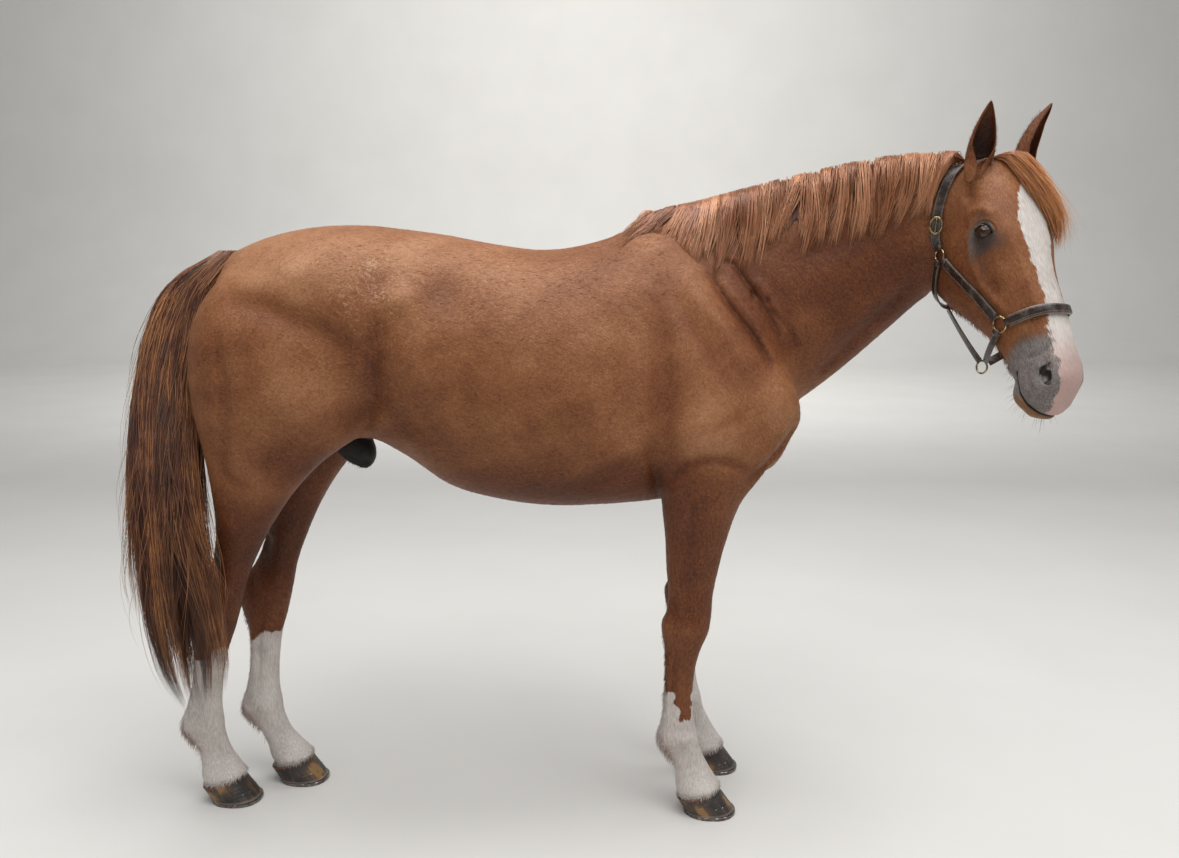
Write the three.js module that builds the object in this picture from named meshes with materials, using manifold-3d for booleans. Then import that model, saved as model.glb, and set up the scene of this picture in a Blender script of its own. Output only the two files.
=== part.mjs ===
// A chestnut riding horse standing still, life size, with its head turned to its right and a leather
// headcollar on. Millimetres, +X forward, +Y to the horse's left, +Z up, hooves on z = 0.
//
// Every fleshy part is a loft: a run of cross-sections along one axis, each a two-part superellipse.
// The lofts are closed meshes, joined or cut where two parts meet.
import * as THREE from 'three';
import { mergeVertices } from 'three/addons/utils/BufferGeometryUtils.js';
import Module from 'manifold-3d';

const wasm = await Module();
wasm.setup();

// ---------------------------------------------------------------- driving dimensions
const ORIGIN = { x: 29, y: 70 }; // the median plane and girth, seen from the centre of the ground box
const GAP = 0.4; // clearance between touching parts
const FORE_CUT = 849; // height where a foreleg parts from the trunk, just under the elbow
const HIND_CUT = 962; // height where a hind leg parts from the trunk, under the stifle
const LEG_TURN = 1250; // height about which a stepping leg swings
// How far each hoof stands forward, how far its toe is set on from there, and where its white ends.
const STANCE = {
  foreRight: { step: 0, toe: 0, white: 296 },
  foreLeft: { step: 42, toe: 0, white: 486 },
  hindRight: { step: 0, toe: -16, white: 448 },
  hindLeft: { step: 150, toe: 20, white: 448 },
};

const HOOF = { ground: 138, lean: 0.7, halfWidth: 63, halfTop: 52, topFront: 88, topBack: 46 };
const SHOE = { height: 9, web: 22 }; // thickness and width of the shoe's bar
const EYE_RADIUS = 23;
const EYE = { s: 195, n: -64, l: 91 }; // centre of the eyeball on the head's own axes
const EAR = { width: 36, wall: 7, root: 22, rings: 8, arc: 7 };
const STRAP = { width: 24, thickness: 4, rise: 1.5 };
const RING = { radius: 19, wire: 2.6 };

// The head's own axes: s runs down the face, l to the horse's right, n out of the face.
const HEAD = { x: 1040, y: -190, z: 1783, yaw: 55, pitch: 27, roll: -5 };

// ---------------------------------------------------------------- sections of each loft
// at: place along the axis; high and low: the section's two extremes; wide: where it is widest;
// half: half its width; side: sideways offset; up and down: roundness of its two halves;
// lean: sideways travel for each millimetre above the widest place (the neck's only).
const COLUMNS = ['at', 'high', 'low', 'wide', 'half', 'side', 'up', 'down', 'lean'];
const TRUNK = [
  [-1005, 1507, 1207, 1377, 95, 0, 2.0, 2.0],
  [-960, 1539, 1097, 1377, 150, 0, 2.0, 2.0],
  [-860, 1582, 1017, 1377, 215, 0, 2.0, 2.0],
  [-740, 1608, 1046, 1387, 255, 0, 2.05, 2.0],
  [-610, 1614, 1042, 1377, 272, 0, 2.15, 2.0],
  [-500, 1604, 988, 1327, 268, 0, 2.15, 2.05],
  [-380, 1588, 907, 1262, 280, 0, 2.1, 2.1],
  [-250, 1564, 870, 1212, 297, 0, 2.1, 2.15],
  [-110, 1550, 852, 1177, 300, 0, 2.0, 2.15],
  [30, 1575, 854, 1157, 284, 0, 1.85, 2.15],
  [150, 1622, 862, 1147, 255, 0, 1.65, 2.15],
  [260, 1629, 875, 1147, 228, 0, 1.65, 2.2],
  [370, 1567, 895, 1142, 208, 0, 1.8, 2.2],
  [470, 1437, 940, 1127, 184, 0, 2.0, 2.2],
  [560, 1290, 990, 1105, 140, 0, 2.0, 2.1],
];

const NECK = [
  [170, 1617, 1127, 1317, 95, 0, 1.7, 2.0, 0.0],
  [300, 1645, 1057, 1307, 128, 0, 1.75, 2.0, 0.0],
  [430, 1678, 1062, 1347, 132, 0, 1.75, 2.0, 0.0],
  [530, 1704, 1107, 1387, 122, -3, 1.75, 2.0, -0.03],
  [620, 1724, 1167, 1437, 112, -10, 1.75, 2.0, -0.08],
  [710, 1743, 1239, 1492, 100, -24, 1.8, 2.0, -0.15],
  [800, 1755, 1322, 1540, 92, -46, 1.85, 2.0, -0.24],
  [880, 1760, 1402, 1590, 88, -76, 1.9, 2.0, -0.32],
  [960, 1755, 1477, 1625, 88, -115, 2.0, 2.0, -0.4],
];

const HEAD_SECTIONS = [
  [-18, -14, -140, -70, 52, 0, 2.2, 2.0],
  [15, 6, -185, -70, 76, 0, 2.2, 2.0],
  [70, 15, -235, -62, 92, 0, 2.2, 2.0],
  [125, 20, -285, -58, 101, 0, 2.2, 2.2],
  [180, 22, -312, -55, 107, 0, 2.2, 2.3],
  [235, 17, -308, -58, 104, 0, 2.2, 2.4],
  [290, 9, -282, -68, 90, 0, 2.1, 2.4],
  [345, 7, -246, -74, 79, 0, 2.1, 2.3],
  [400, 8, -212, -72, 69, 0, 2.2, 2.3],
  [455, 6, -184, -68, 61, 0, 2.3, 2.3],
  [505, 2, -171, -68, 58, 0, 2.4, 2.3],
  [550, -3, -171, -68, 61, 0, 2.5, 2.3],
  [595, -16, -172, -76, 62, 0, 2.5, 2.3],
  [635, -52, -158, -98, 49, 0, 2.4, 2.3],
  [662, -84, -136, -110, 34, 0, 2.2, 2.1],
];

const FORELEG = [
  [1537, 250, 110, 180, 42, 66, 2.0, 2.0],
  [1437, 335, 70, 195, 72, 112, 2.0, 2.0],
  [1307, 430, 55, 235, 84, 140, 2.0, 2.0],
  [1197, 515, 70, 290, 88, 150, 2.1, 2.0],
  [1107, 548, 100, 330, 90, 150, 2.1, 2.0],
  [1027, 515, 135, 320, 86, 152, 2.1, 2.0],
  [957, 455, 165, 300, 80, 156, 2.1, 2.1],
  [887, 402, 186, 290, 71, 159, 2.1, 2.1],
  [797, 368, 198, 282, 61, 160, 2.1, 2.1],
  [707, 347, 203, 277, 52, 157, 2.1, 2.1],
  [637, 334, 209, 272, 45, 154, 2.2, 2.1],
  [577, 330, 204, 270, 47, 151, 2.3, 2.1],
  [527, 322, 194, 264, 48, 149, 2.3, 2.1],
  [477, 303, 204, 256, 43, 146, 2.2, 2.1],
  [427, 291, 205, 250, 34, 144, 2.1, 2.1],
  [347, 284, 203, 246, 31, 141, 2.1, 2.1],
  [277, 288, 196, 246, 35, 139, 2.1, 2.1],
  [227, 300, 186, 248, 42, 137, 2.2, 2.1],
  [196, 305, 196, 255, 38, 136, 2.2, 2.1],
  [150, 325, 226, 278, 34, 135, 2.1, 2.1],
  [112, 346, 236, 293, 44, 134, 2.1, 2.1],
  [76, 368, 238, 305, 56, 134, 2.1, 2.1],
  [40, 380, 252, 318, 50, 134, 2.1, 2.1],
];

const HINDLEG = [
  [1522, -640, -900, -760, 50, 90, 2.0, 2.0],
  [1447, -590, -985, -790, 108, 118, 2.1, 2.0],
  [1347, -570, -1034, -810, 132, 136, 2.1, 2.1],
  [1237, -560, -1046, -820, 138, 140, 2.1, 2.1],
  [1137, -578, -1040, -820, 132, 140, 2.1, 2.1],
  [1057, -630, -1026, -830, 118, 140, 2.1, 2.1],
  [987, -712, -1014, -860, 100, 137, 2.1, 2.1],
  [917, -780, -1008, -890, 85, 129, 2.1, 2.1],
  [847, -834, -1006, -915, 71, 120, 2.1, 2.0],
  [777, -876, -1012, -940, 58, 110, 2.1, 1.9],
  [707, -912, -1032, -970, 48, 100, 2.1, 1.8],
  [647, -938, -1066, -990, 44, 93, 2.2, 1.8],
  [602, -952, -1112, -1004, 48, 88, 2.2, 1.8],
  [557, -966, -1122, -1022, 50, 83, 2.3, 1.9],
  [507, -982, -1114, -1038, 44, 79, 2.2, 2.0],
  [447, -1004, -1102, -1050, 34, 75, 2.1, 2.1],
  [357, -1024, -1112, -1066, 32, 71, 2.1, 2.1],
  [287, -1032, -1132, -1076, 36, 68, 2.1, 2.1],
  [239, -1030, -1150, -1084, 42, 66, 2.2, 2.1],
  [203, -1028, -1142, -1082, 38, 65, 2.2, 2.1],
  [152, -1012, -1110, -1060, 34, 64, 2.1, 2.1],
  [112, -987, -1098, -1041, 44, 63, 2.1, 2.1],
  [76, -964, -1095, -1028, 56, 62, 2.1, 2.1],
  [40, -950, -1078, -1014, 50, 62, 2.1, 2.1],
];

const TAIL = [
  [1549, -925, -1000, -962, 26, 0, 2.0, 2.0],
  [1526, -944, -1040, -992, 33, 0, 2.0, 2.0],
  [1490, -972, -1105, -1038, 42, -3, 2.0, 2.0],
  [1430, -1000, -1168, -1084, 52, -10, 2.0, 2.0],
  [1330, -1024, -1205, -1114, 60, -28, 2.0, 2.0],
  [1206, -1037, -1225, -1131, 68, -58, 2.0, 2.0],
  [1077, -1031, -1234, -1132, 74, -98, 2.0, 2.0],
  [949, -1014, -1234, -1124, 78, -140, 2.0, 2.0],
  [823, -995, -1228, -1112, 78, -172, 2.0, 2.0],
  [691, -978, -1222, -1100, 74, -194, 2.0, 2.0],
  [581, -974, -1212, -1093, 68, -202, 2.0, 2.0],
  [470, -972, -1186, -1079, 58, -206, 2.0, 2.0],
  [386, -992, -1150, -1071, 44, -206, 2.0, 2.0],
  [326, -1026, -1100, -1063, 24, -204, 2.0, 2.0],
];

const SHEATH = [
  [-700, 1077, 1017, 1047, 34, 0, 2.0, 2.0],
  [-620, 1067, 987, 1037, 46, 0, 2.0, 2.0],
  [-560, 1037, 972, 1017, 40, 0, 2.0, 2.0],
];

// ---------------------------------------------------------------- materials
const finish = (color, roughness, metalness = 0) =>
  new THREE.MeshStandardMaterial({ color, roughness, metalness });
const COAT = finish('#8a5236', 0.6);
const HAIR = finish('#8f5a3a', 0.55);
const TAIL_HAIR = finish('#6b3c28', 0.55);
const STOCKING = finish('#b9aaa2', 0.7);
const HORN = finish('#4a423c', 0.4);
const SHOE_STEEL = finish('#6f6a66', 0.4, 1);
const DARK_SKIN = finish('#2b2422', 0.6);
const CORNEA = finish('#1a100c', 0.08);
const LEATHER = finish('#3d332f', 0.5);
const BRASS = finish('#b09a68', 0.3, 1);

// ---------------------------------------------------------------- solids from meshes
/** A manifold solid from vertex positions and triangle indices, turned to face outwards. */
function solidFrom(positions, indices) {
  const geometry = new THREE.BufferGeometry()
    .setAttribute('position', new THREE.Float32BufferAttribute(positions, 3))
    .setIndex(indices);
  return solidOf(geometry);
}

/** A manifold solid from a closed three.js geometry, turned to face outwards. */
function solidOf(geometry) {
  const bare = geometry.clone();
  bare.deleteAttribute('normal');
  bare.deleteAttribute('uv');
  const merged = mergeVertices(bare, 1e-3);
  const triVerts = new Uint32Array(merged.index.array);
  const vertProperties = merged.attributes.position.array;
  const made = new wasm.Manifold(new wasm.Mesh({ numProp: 3, vertProperties, triVerts }));
  if (made.volume() > 0) return made;
  for (let i = 0; i < triVerts.length; i += 3) {
    [triVerts[i + 1], triVerts[i + 2]] = [triVerts[i + 2], triVerts[i + 1]];
  }
  return new wasm.Manifold(new wasm.Mesh({ numProp: 3, vertProperties, triVerts }));
}

/** The largest connected body of a solid: a cut can leave slivers beside it. */
const largest = (solid) =>
  solid.decompose().reduce((best, body) => (body.volume() > best.volume() ? body : best));

/** The union of several solids. */
const join = (...solids) => solids.reduce((all, one) => all.add(one));

/** A solid with its neighbours cut away, kept as one body. */
const clear = (solid, ...cutters) =>
  largest(cutters.reduce((left, cutter) => left.subtract(cutter), solid));

/** A named mesh of a solid. */
function node(name, solid, material) {
  const { vertProperties, numProp, numVert, triVerts } = solid.getMesh();
  const positions = new Float32Array(numVert * 3);
  for (let i = 0; i < numVert; i += 1) {
    positions.set(vertProperties.subarray(i * numProp, i * numProp + 3), i * 3);
  }
  const geometry = new THREE.BufferGeometry()
    .setAttribute('position', new THREE.BufferAttribute(positions, 3))
    .setIndex(new THREE.BufferAttribute(triVerts, 1));
  const mesh = new THREE.Mesh(geometry, material);
  mesh.name = name;
  return mesh;
}

/** A box from its lowest and highest corners, as a solid. */
function boxSolid(low, high) {
  const size = new THREE.Vector3(...high).sub(new THREE.Vector3(...low));
  const middle = new THREE.Vector3(...high).add(new THREE.Vector3(...low)).multiplyScalar(0.5);
  const box = new THREE.BoxGeometry(size.x, size.y, size.z).translate(middle.x, middle.y, middle.z);
  return solidOf(box);
}

/** A closed solid through rings of points, the first and last of which are single points. */
function skin(rings) {
  const positions = rings.flat().flatMap((v) => [v.x, v.y, v.z]);
  const inner = rings.slice(1, -1);
  const size = inner[0].length;
  const last = 1 + inner.length * size;
  const indices = [];
  for (let k = 0; k < size; k += 1) {
    const next = (k + 1) % size;
    indices.push(0, 1 + next, 1 + k);
    indices.push(last, last - size + k, last - size + next);
    for (let r = 0; r < inner.length - 1; r += 1) {
      const [a, b] = [1 + r * size, 1 + (r + 1) * size];
      indices.push(a + k, a + next, b + next, a + k, b + next, b + k);
    }
  }
  return solidFrom(positions, indices);
}

// ---------------------------------------------------------------- lofts
const FAR = 3000; // larger than the horse, for cutting boxes
const ALONG_X = new THREE.Matrix4();
const ALONG_Z = new THREE.Matrix4().makeBasis(
  new THREE.Vector3(0, 0, 1),
  new THREE.Vector3(0, 1, 0),
  new THREE.Vector3(1, 0, 0),
);

/** The matrix from the head's axes (s, l, n) to the horse's. */
function headPlace() {
  const [yaw, pitch, roll] = [HEAD.yaw, HEAD.pitch, HEAD.roll].map(THREE.MathUtils.degToRad);
  const heading = new THREE.Vector3(Math.cos(yaw), -Math.sin(yaw), 0);
  const right = new THREE.Vector3(-Math.sin(yaw), -Math.cos(yaw), 0);
  const up = new THREE.Vector3(0, 0, 1);
  const mix = (a, ka, b, kb) => a.clone().multiplyScalar(ka).addScaledVector(b, kb);
  const down = mix(up, -Math.cos(pitch), heading, Math.sin(pitch));
  const out = mix(heading, Math.cos(pitch), up, Math.sin(pitch));
  const s = mix(down, Math.cos(roll), right, -Math.sin(roll));
  const l = mix(right, Math.cos(roll), down, Math.sin(roll));
  return new THREE.Matrix4().makeBasis(s, l, out).setPosition(HEAD.x, HEAD.y, HEAD.z);
}

/** A run of sections along an axis, with rounded ends of the given lengths. */
class Loft {
  constructor(rows, place, capStart, capEnd) {
    this.rows = rows.map((row) => [...row, 0].slice(0, COLUMNS.length)).sort((a, b) => a[0] - b[0]);
    this.place = place;
    this.toAxes = place.clone().invert();
    this.capStart = capStart;
    this.capEnd = capEnd;
    this.start = this.rows[0][0];
    this.end = this.rows.at(-1)[0];
  }

  /** The section at a place along the axis, by a cubic through the neighbouring rows. */
  section(at) {
    const rows = this.rows;
    const t = THREE.MathUtils.clamp(at, this.start, this.end);
    let i = 0;
    while (i < rows.length - 2 && t > rows[i + 1][0]) i += 1;
    const [before, after] = [rows[Math.max(i - 1, 0)], rows[Math.min(i + 2, rows.length - 1)]];
    const [a, b] = [rows[i], rows[i + 1]];
    const span = b[0] - a[0];
    const u = (t - a[0]) / span;
    return Object.fromEntries(
      COLUMNS.map((name, k) => {
        const slopeA = ((b[k] - before[k]) / (b[0] - before[0])) * span;
        const slopeB = ((after[k] - a[k]) / (after[0] - a[0])) * span;
        const value =
          a[k] * (1 + 2 * u) * (1 - u) ** 2 +
          slopeA * u * (1 - u) ** 2 +
          b[k] * u * u * (3 - 2 * u) -
          slopeB * u * u * (1 - u);
        return [name, value];
      }),
    );
  }

  /** The point on a section at an angle from its side, moved out by a rise. */
  point(at, angle, rise = 0, shrink = 1) {
    const q = this.section(at);
    const [c, s] = [Math.cos(angle), Math.sin(angle)];
    const power = 2 / (s >= 0 ? q.up : q.down);
    const across = (q.half + rise) * Math.sign(c) * Math.abs(c) ** power * shrink;
    const reach = s >= 0 ? q.high - q.wide + rise : q.wide - q.low + rise;
    const up = reach * Math.sign(s) * Math.abs(s) ** power * shrink;
    return new THREE.Vector3(at, q.side + across + q.lean * up, q.wide + up).applyMatrix4(this.place);
  }

  /** How far a point is outside the loft (negative inside), near enough for laying things on it. */
  distance(point) {
    const p = point.clone().applyMatrix4(this.toAxes);
    const q = this.section(p.x);
    const rise = p.z - q.wide;
    const reach = rise >= 0 ? q.high - q.wide : q.wide - q.low;
    const power = rise >= 0 ? q.up : q.down;
    const across = Math.abs(p.y - q.side - q.lean * rise) / q.half;
    const round = (across ** power + Math.abs(rise / reach) ** power) ** (1 / power);
    const past = p.x > this.end - this.capEnd
      ? (p.x - this.end + this.capEnd) / this.capEnd
      : Math.max(0, (this.start + this.capStart - p.x) / this.capStart);
    return (Math.hypot(round, past) - 1) * Math.min(q.half, reach);
  }

  /** The closed mesh of the loft as a solid, moved out by a rise. */
  solid(rings, segments, rise = 0, capRings = 3) {
    const around = Array.from({ length: segments }, (_, k) => (2 * Math.PI * k) / segments);
    const stops = this.stops(rings, rise, capRings);
    return skin(
      stops.map(({ at, shrink }, i) => {
        const tip = i === 0 || i === stops.length - 1;
        return tip ? this.point(at, 0, 0, 0) : around.map((angle) => this.point(at, angle, rise, shrink));
      }),
    );
  }

  /** Places of the rings, closer at each rounded end, with how far each section shrinks there. */
  stops(rings, rise, capRings) {
    const list = [];
    const [from, to] = [this.start + this.capStart, this.end - this.capEnd];
    for (let i = capRings; i > 0; i -= 1) {
      const turn = ((i / capRings) * Math.PI) / 2;
      list.push({ at: from - (this.capStart + rise) * Math.sin(turn), shrink: Math.cos(turn) });
    }
    for (let i = 0; i <= rings; i += 1) list.push({ at: from + ((to - from) * i) / rings, shrink: 1 });
    for (let i = 1; i <= capRings; i += 1) {
      const turn = ((i / capRings) * Math.PI) / 2;
      list.push({ at: to + (this.capEnd + rise) * Math.sin(turn), shrink: Math.cos(turn) });
    }
    return list;
  }
}

/** The nearest point that lies the given distance outside all of some lofts. */
function onHide(point, rise, lofts) {
  const field = (p) => Math.min(...lofts.map((loft) => loft.distance(p)));
  const p = point.clone();
  for (let turn = 0; turn < 12; turn += 1) {
    const slope = slopeOf(field, p);
    p.addScaledVector(slope, (rise - field(p)) / slope.lengthSq());
  }
  return p;
}

/** The slope of a field at a point. */
function slopeOf(field, p) {
  const step = 1;
  const along = (x, y, z) => {
    const move = new THREE.Vector3(x, y, z).multiplyScalar(step);
    return (field(p.clone().add(move)) - field(p.clone().sub(move))) / (2 * step);
  };
  return new THREE.Vector3(along(1, 0, 0), along(0, 1, 0), along(0, 0, 1));
}

/** How far a stepping leg is swung forward at a height. */
const swing = (step, height) => step * Math.max(0, 1 - height / LEG_TURN) ** 0.7;

/** A leg's rows for one side: swung forward by its step, and set out to the left (1) or right (-1). */
const legRows = (rows, { step, toe, hand }) =>
  rows.map(([at, high, low, wide, half, side, up, down]) => {
    const dx = swing(step, at) + toe * Math.max(0, 1 - at / 160);
    return [at, high + dx, low + dx, wide + dx, half, side * hand, up, down];
  });

const headMatrix = headPlace();
const trunkLoft = new Loft(TRUNK, ALONG_X, 60, 70);
const neckLoft = new Loft(NECK, ALONG_X, 40, 30);
const headLoft = new Loft(HEAD_SECTIONS, headMatrix, 26, 26);
const tailLoft = new Loft(TAIL, ALONG_Z, 40, 20);
const sheathLoft = new Loft(SHEATH, ALONG_X, 30, 25);
const LEGS = {
  fore_right: { rows: FORELEG, ...STANCE.foreRight, hand: -1, cut: FORE_CUT },
  fore_left: { rows: FORELEG, ...STANCE.foreLeft, hand: 1, cut: FORE_CUT },
  hind_right: { rows: HINDLEG, ...STANCE.hindRight, hand: -1, cut: HIND_CUT },
  hind_left: { rows: HINDLEG, ...STANCE.hindLeft, hand: 1, cut: HIND_CUT },
};
for (const leg of Object.values(LEGS)) {
  leg.loft = new Loft(legRows(leg.rows, leg), ALONG_Z, 8, 50);
}

// ---------------------------------------------------------------- hooves
/** The frame of a hoof: its heel at the ground, its middle line and the height of its coronet. */
function hoofOf(leg) {
  const low = leg.loft.section(80);
  return { heel: low.low + 34, side: low.side };
}

/** The leaning outline of a hoof, or of the opening inside its shoe, as a solid between two heights. */
function hoofOutline(leg, inset, open, from, to) {
  const { heel, side } = hoofOf(leg);
  const rows = [-40, 120].map((z) => {
    const back = heel - z * HOOF.lean * 0.9 - open;
    const front = heel + HOOF.ground - z * HOOF.lean - inset;
    const half = THREE.MathUtils.lerp(HOOF.halfWidth, HOOF.halfTop, z / 110) - inset;
    return [z, front, back, back + (front - back) * 0.56, half, side, 2.1, 2.4];
  });
  const wall = new Loft(rows, ALONG_Z, 5, 5).solid(1, 18, 0, 1);
  return wall.intersect(boxSolid([-FAR, -FAR, from], [FAR, FAR, to]));
}

/** A hoof above its shoe, cut along its coronet. */
const hoofSolid = (leg) =>
  largest(hoofOutline(leg, 0, 0, SHOE.height + GAP, FAR).subtract(aboveCoronet(leg, 0)));

/** A horseshoe: a flat bar round the hoof's edge, open at the heel. */
const shoeSolid = (leg) =>
  largest(hoofOutline(leg, 0, 0, 0, SHOE.height).subtract(hoofOutline(leg, SHOE.web, 60, -9, FAR)));

/** Everything above a hoof's coronet, which slopes down from toe to heel. */
function aboveCoronet(leg, rise) {
  const { heel, side } = hoofOf(leg);
  const slope = Math.atan2(HOOF.topFront - HOOF.topBack, HOOF.ground);
  const block = new THREE.BoxGeometry(FAR, 400, FAR)
    .translate(0, 0, FAR / 2)
    .rotateY(-slope)
    .translate(heel - 30, side, HOOF.topBack + rise);
  return solidOf(block);
}

// ---------------------------------------------------------------- trunk, neck, legs
/** The trunk with its shoulders and thighs, moved out by a rise. */
function trunkSolid(rise = 0) {
  const above = (cut) => boxSolid([-FAR, -FAR, cut + GAP - rise], [FAR, FAR, FAR]);
  const limbs = Object.values(LEGS).map((leg) => leg.loft.solid(22, 12, rise).intersect(above(leg.cut)));
  return join(trunkLoft.solid(16, 22, rise), ...limbs);
}

/** One leg between two heights, and above its coronet. */
function legSolid(leg, from, to) {
  const band = boxSolid([-FAR, -FAR, from], [FAR, FAR, to]);
  return largest(leg.loft.solid(22, 12).intersect(band).intersect(aboveCoronet(leg, GAP)));
}

// ---------------------------------------------------------------- head, ears, eyes
const onHead = (s, l, n) => new THREE.Vector3(s, l, n).applyMatrix4(headMatrix);

/** An ear: a leaf rolled round its stem, with an open front. hand is 1 on the right. */
function earSolid(hand, tip, facing) {
  const base = onHead(24, 88 * hand, -34);
  const point = onHead(...tip);
  const axis = point.clone().sub(base).normalize();
  const front = onHead(...facing).sub(onHead(0, 0, 0));
  front.addScaledVector(axis, -front.dot(axis)).normalize();
  const across = new THREE.Vector3().crossVectors(axis, front);
  const root = base.clone().addScaledVector(axis, -EAR.root);
  const stem = point.clone().sub(root);
  const rings = [root];
  for (let i = 0; i < EAR.rings; i += 1) {
    const u = i / EAR.rings;
    const half = EAR.width * Math.sin(Math.PI * (0.3 + 0.7 * u)) ** 0.8 * (1 - 0.12 * u);
    const open = THREE.MathUtils.smoothstep(u, 0.1, 0.45); // how far the leaf is unrolled
    const spread = THREE.MathUtils.lerp(2.75, 1.75, open);
    const wall = EAR.wall * Math.min(1, 0.4 + 1.2 * (1 - u));
    const outer = Array.from({ length: EAR.arc + 1 }, (_, k) => [(2 * k) / EAR.arc - 1, half]);
    const inner = outer.map(([turn]) => {
      const thick = wall * (1 - 0.4 * Math.abs(turn));
      return [turn, Math.max(half - thick, half * 0.45)];
    });
    const centre = root.clone().addScaledVector(stem, u);
    rings.push(
      [...outer, ...inner.reverse()].map(([turn, radius]) =>
        centre
          .clone()
          .addScaledVector(across, radius * Math.sin(turn * spread))
          .addScaledVector(front, -radius * Math.cos(turn * spread) * 0.8),
      ),
    );
  }
  rings.push(point);
  return skin(rings);
}

/** An eyeball, on the right (1) or left (-1) of the head. */
function eyeSolid(hand, rise = 0) {
  const centre = onHead(EYE.s, EYE.l * hand, EYE.n);
  const ball = new THREE.SphereGeometry(EYE_RADIUS + rise, 12, 8).translate(centre.x, centre.y, centre.z);
  return solidOf(ball);
}

// ---------------------------------------------------------------- mane and forelock
/** A sheet of hair over a grid of points, as a solid; thickness is a function of the way down (0 to 1). */
function hairSheet(grid, thickness) {
  const [rows, columns] = [grid.length, grid[0].length];
  const at = (i, j) => grid[THREE.MathUtils.clamp(i, 0, rows - 1)][THREE.MathUtils.clamp(j, 0, columns - 1)];
  const positions = [];
  for (const side of [1, -1]) {
    for (let i = 0; i < rows; i += 1) {
      for (let j = 0; j < columns; j += 1) {
        const down = at(i + 1, j).clone().sub(at(i - 1, j));
        const along = at(i, j + 1).clone().sub(at(i, j - 1));
        const normal = down.cross(along).normalize();
        const v = at(i, j).clone().addScaledVector(normal, (side * thickness(i / (rows - 1))) / 2);
        positions.push(v.x, v.y, v.z);
      }
    }
  }
  const indices = [];
  const back = rows * columns;
  const quad = (a, b, c, d) => indices.push(a, b, c, a, c, d);
  for (let i = 0; i < rows - 1; i += 1) {
    for (let j = 0; j < columns - 1; j += 1) {
      const a = i * columns + j;
      quad(a, a + columns, a + columns + 1, a + 1);
      quad(back + a, back + a + 1, back + a + columns + 1, back + a + columns);
    }
  }
  for (let j = 0; j < columns - 1; j += 1) {
    const low = (rows - 1) * columns + j;
    quad(j, j + 1, back + j + 1, back + j);
    quad(low, back + low, back + low + 1, low + 1);
  }
  for (let i = 0; i < rows - 1; i += 1) {
    const [a, z] = [i * columns, i * columns + columns - 1];
    quad(a, back + a, back + a + columns, a + columns);
    quad(z, z + columns, back + z + columns, back + z);
  }
  return solidFrom(positions, indices);
}

const MANE = { from: 175, to: 960, drop: 188, rise: 11, thickness: 15, rows: 7, columns: 15 };

/** The mane: it rises from the crest and falls down the right side of the neck. */
function maneSolid() {
  const grid = Array.from({ length: MANE.rows }, (_, i) => {
    const fall = i / (MANE.rows - 1);
    return Array.from({ length: MANE.columns }, (_, j) => {
      const along = j / (MANE.columns - 1);
      const drop = MANE.drop * (0.76 + 0.26 * Math.sin(Math.PI * along ** 0.8));
      return manePoint(THREE.MathUtils.lerp(MANE.from, MANE.to, along), fall * drop);
    });
  });
  return hairSheet(grid, (fall) => MANE.thickness * (0.4 + 0.75 * Math.sin(Math.PI * (0.45 + fall / 2.2))));
}

/** A point of the mane at a place along the neck, a given way down from the crest on the right side. */
function manePoint(x, down) {
  let angle = 0.46 * Math.PI;
  let point = neckLoft.point(x, angle);
  for (let gone = 0; gone < down; ) {
    angle += 0.02;
    const next = neckLoft.point(x, angle);
    gone += next.distanceTo(point);
    point = next;
  }
  return onHide(point, MANE.rise, [neckLoft, trunkLoft, headLoft]);
}

const FORELOCK = { rows: 8, columns: 6, thickness: 26, length: 276 };

/** The forelock: hair from between the ears that falls over the left of the forehead. */
function forelockSolid() {
  const grid = Array.from({ length: FORELOCK.rows }, (_, i) => {
    const fall = i / (FORELOCK.rows - 1);
    return Array.from({ length: FORELOCK.columns }, (_, j) => {
      const across = (2 * j) / (FORELOCK.columns - 1) - 1;
      const l = 6 - 64 * across * (1 - 0.5 * fall) - 92 * fall;
      const s = -14 + FORELOCK.length * fall * (0.94 + 0.06 * across);
      const rise = 16 + 20 * Math.sin(Math.PI * fall) ** 0.8 - 5 * across ** 2;
      return onHide(onHead(s, l, 30), rise, [headLoft]);
    });
  });
  return hairSheet(grid, (fall) => FORELOCK.thickness * (1.1 - 0.85 * fall));
}

// ---------------------------------------------------------------- headcollar
const HIDE = [headLoft, neckLoft];

/** A place on the hide of the head, near (s, l, n), moved out by a rise. */
const laid = (place, rise) => onHide(onHead(...place), rise, HIDE);

/** How far a point is outside the hide of the head and neck. */
const offHide = (point) => Math.min(...HIDE.map((loft) => loft.distance(point)));

/** The outward direction of the hide near a point. */
const outward = (point) => slopeOf(offHide, point).normalize();

/** A flat strap along points with the given outward normals. */
function strapSolid(points, normals, width = STRAP.width) {
  const corners = points.map((point, i) => {
    const before = points[Math.max(i - 1, 0)];
    const after = points[Math.min(i + 1, points.length - 1)];
    const across = after.clone().sub(before).cross(normals[i]).normalize();
    return [[-1, -1], [1, -1], [1, 1], [-1, 1]].map(([w, t]) =>
      point
        .clone()
        .addScaledVector(across, (w * width) / 2)
        .addScaledVector(normals[i], (t * STRAP.thickness) / 2),
    );
  });
  const middle = (ring) => ring.reduce((sum, v) => sum.add(v), new THREE.Vector3()).divideScalar(4);
  return skin([middle(corners[0]), ...corners, middle(corners.at(-1))]);
}

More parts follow.
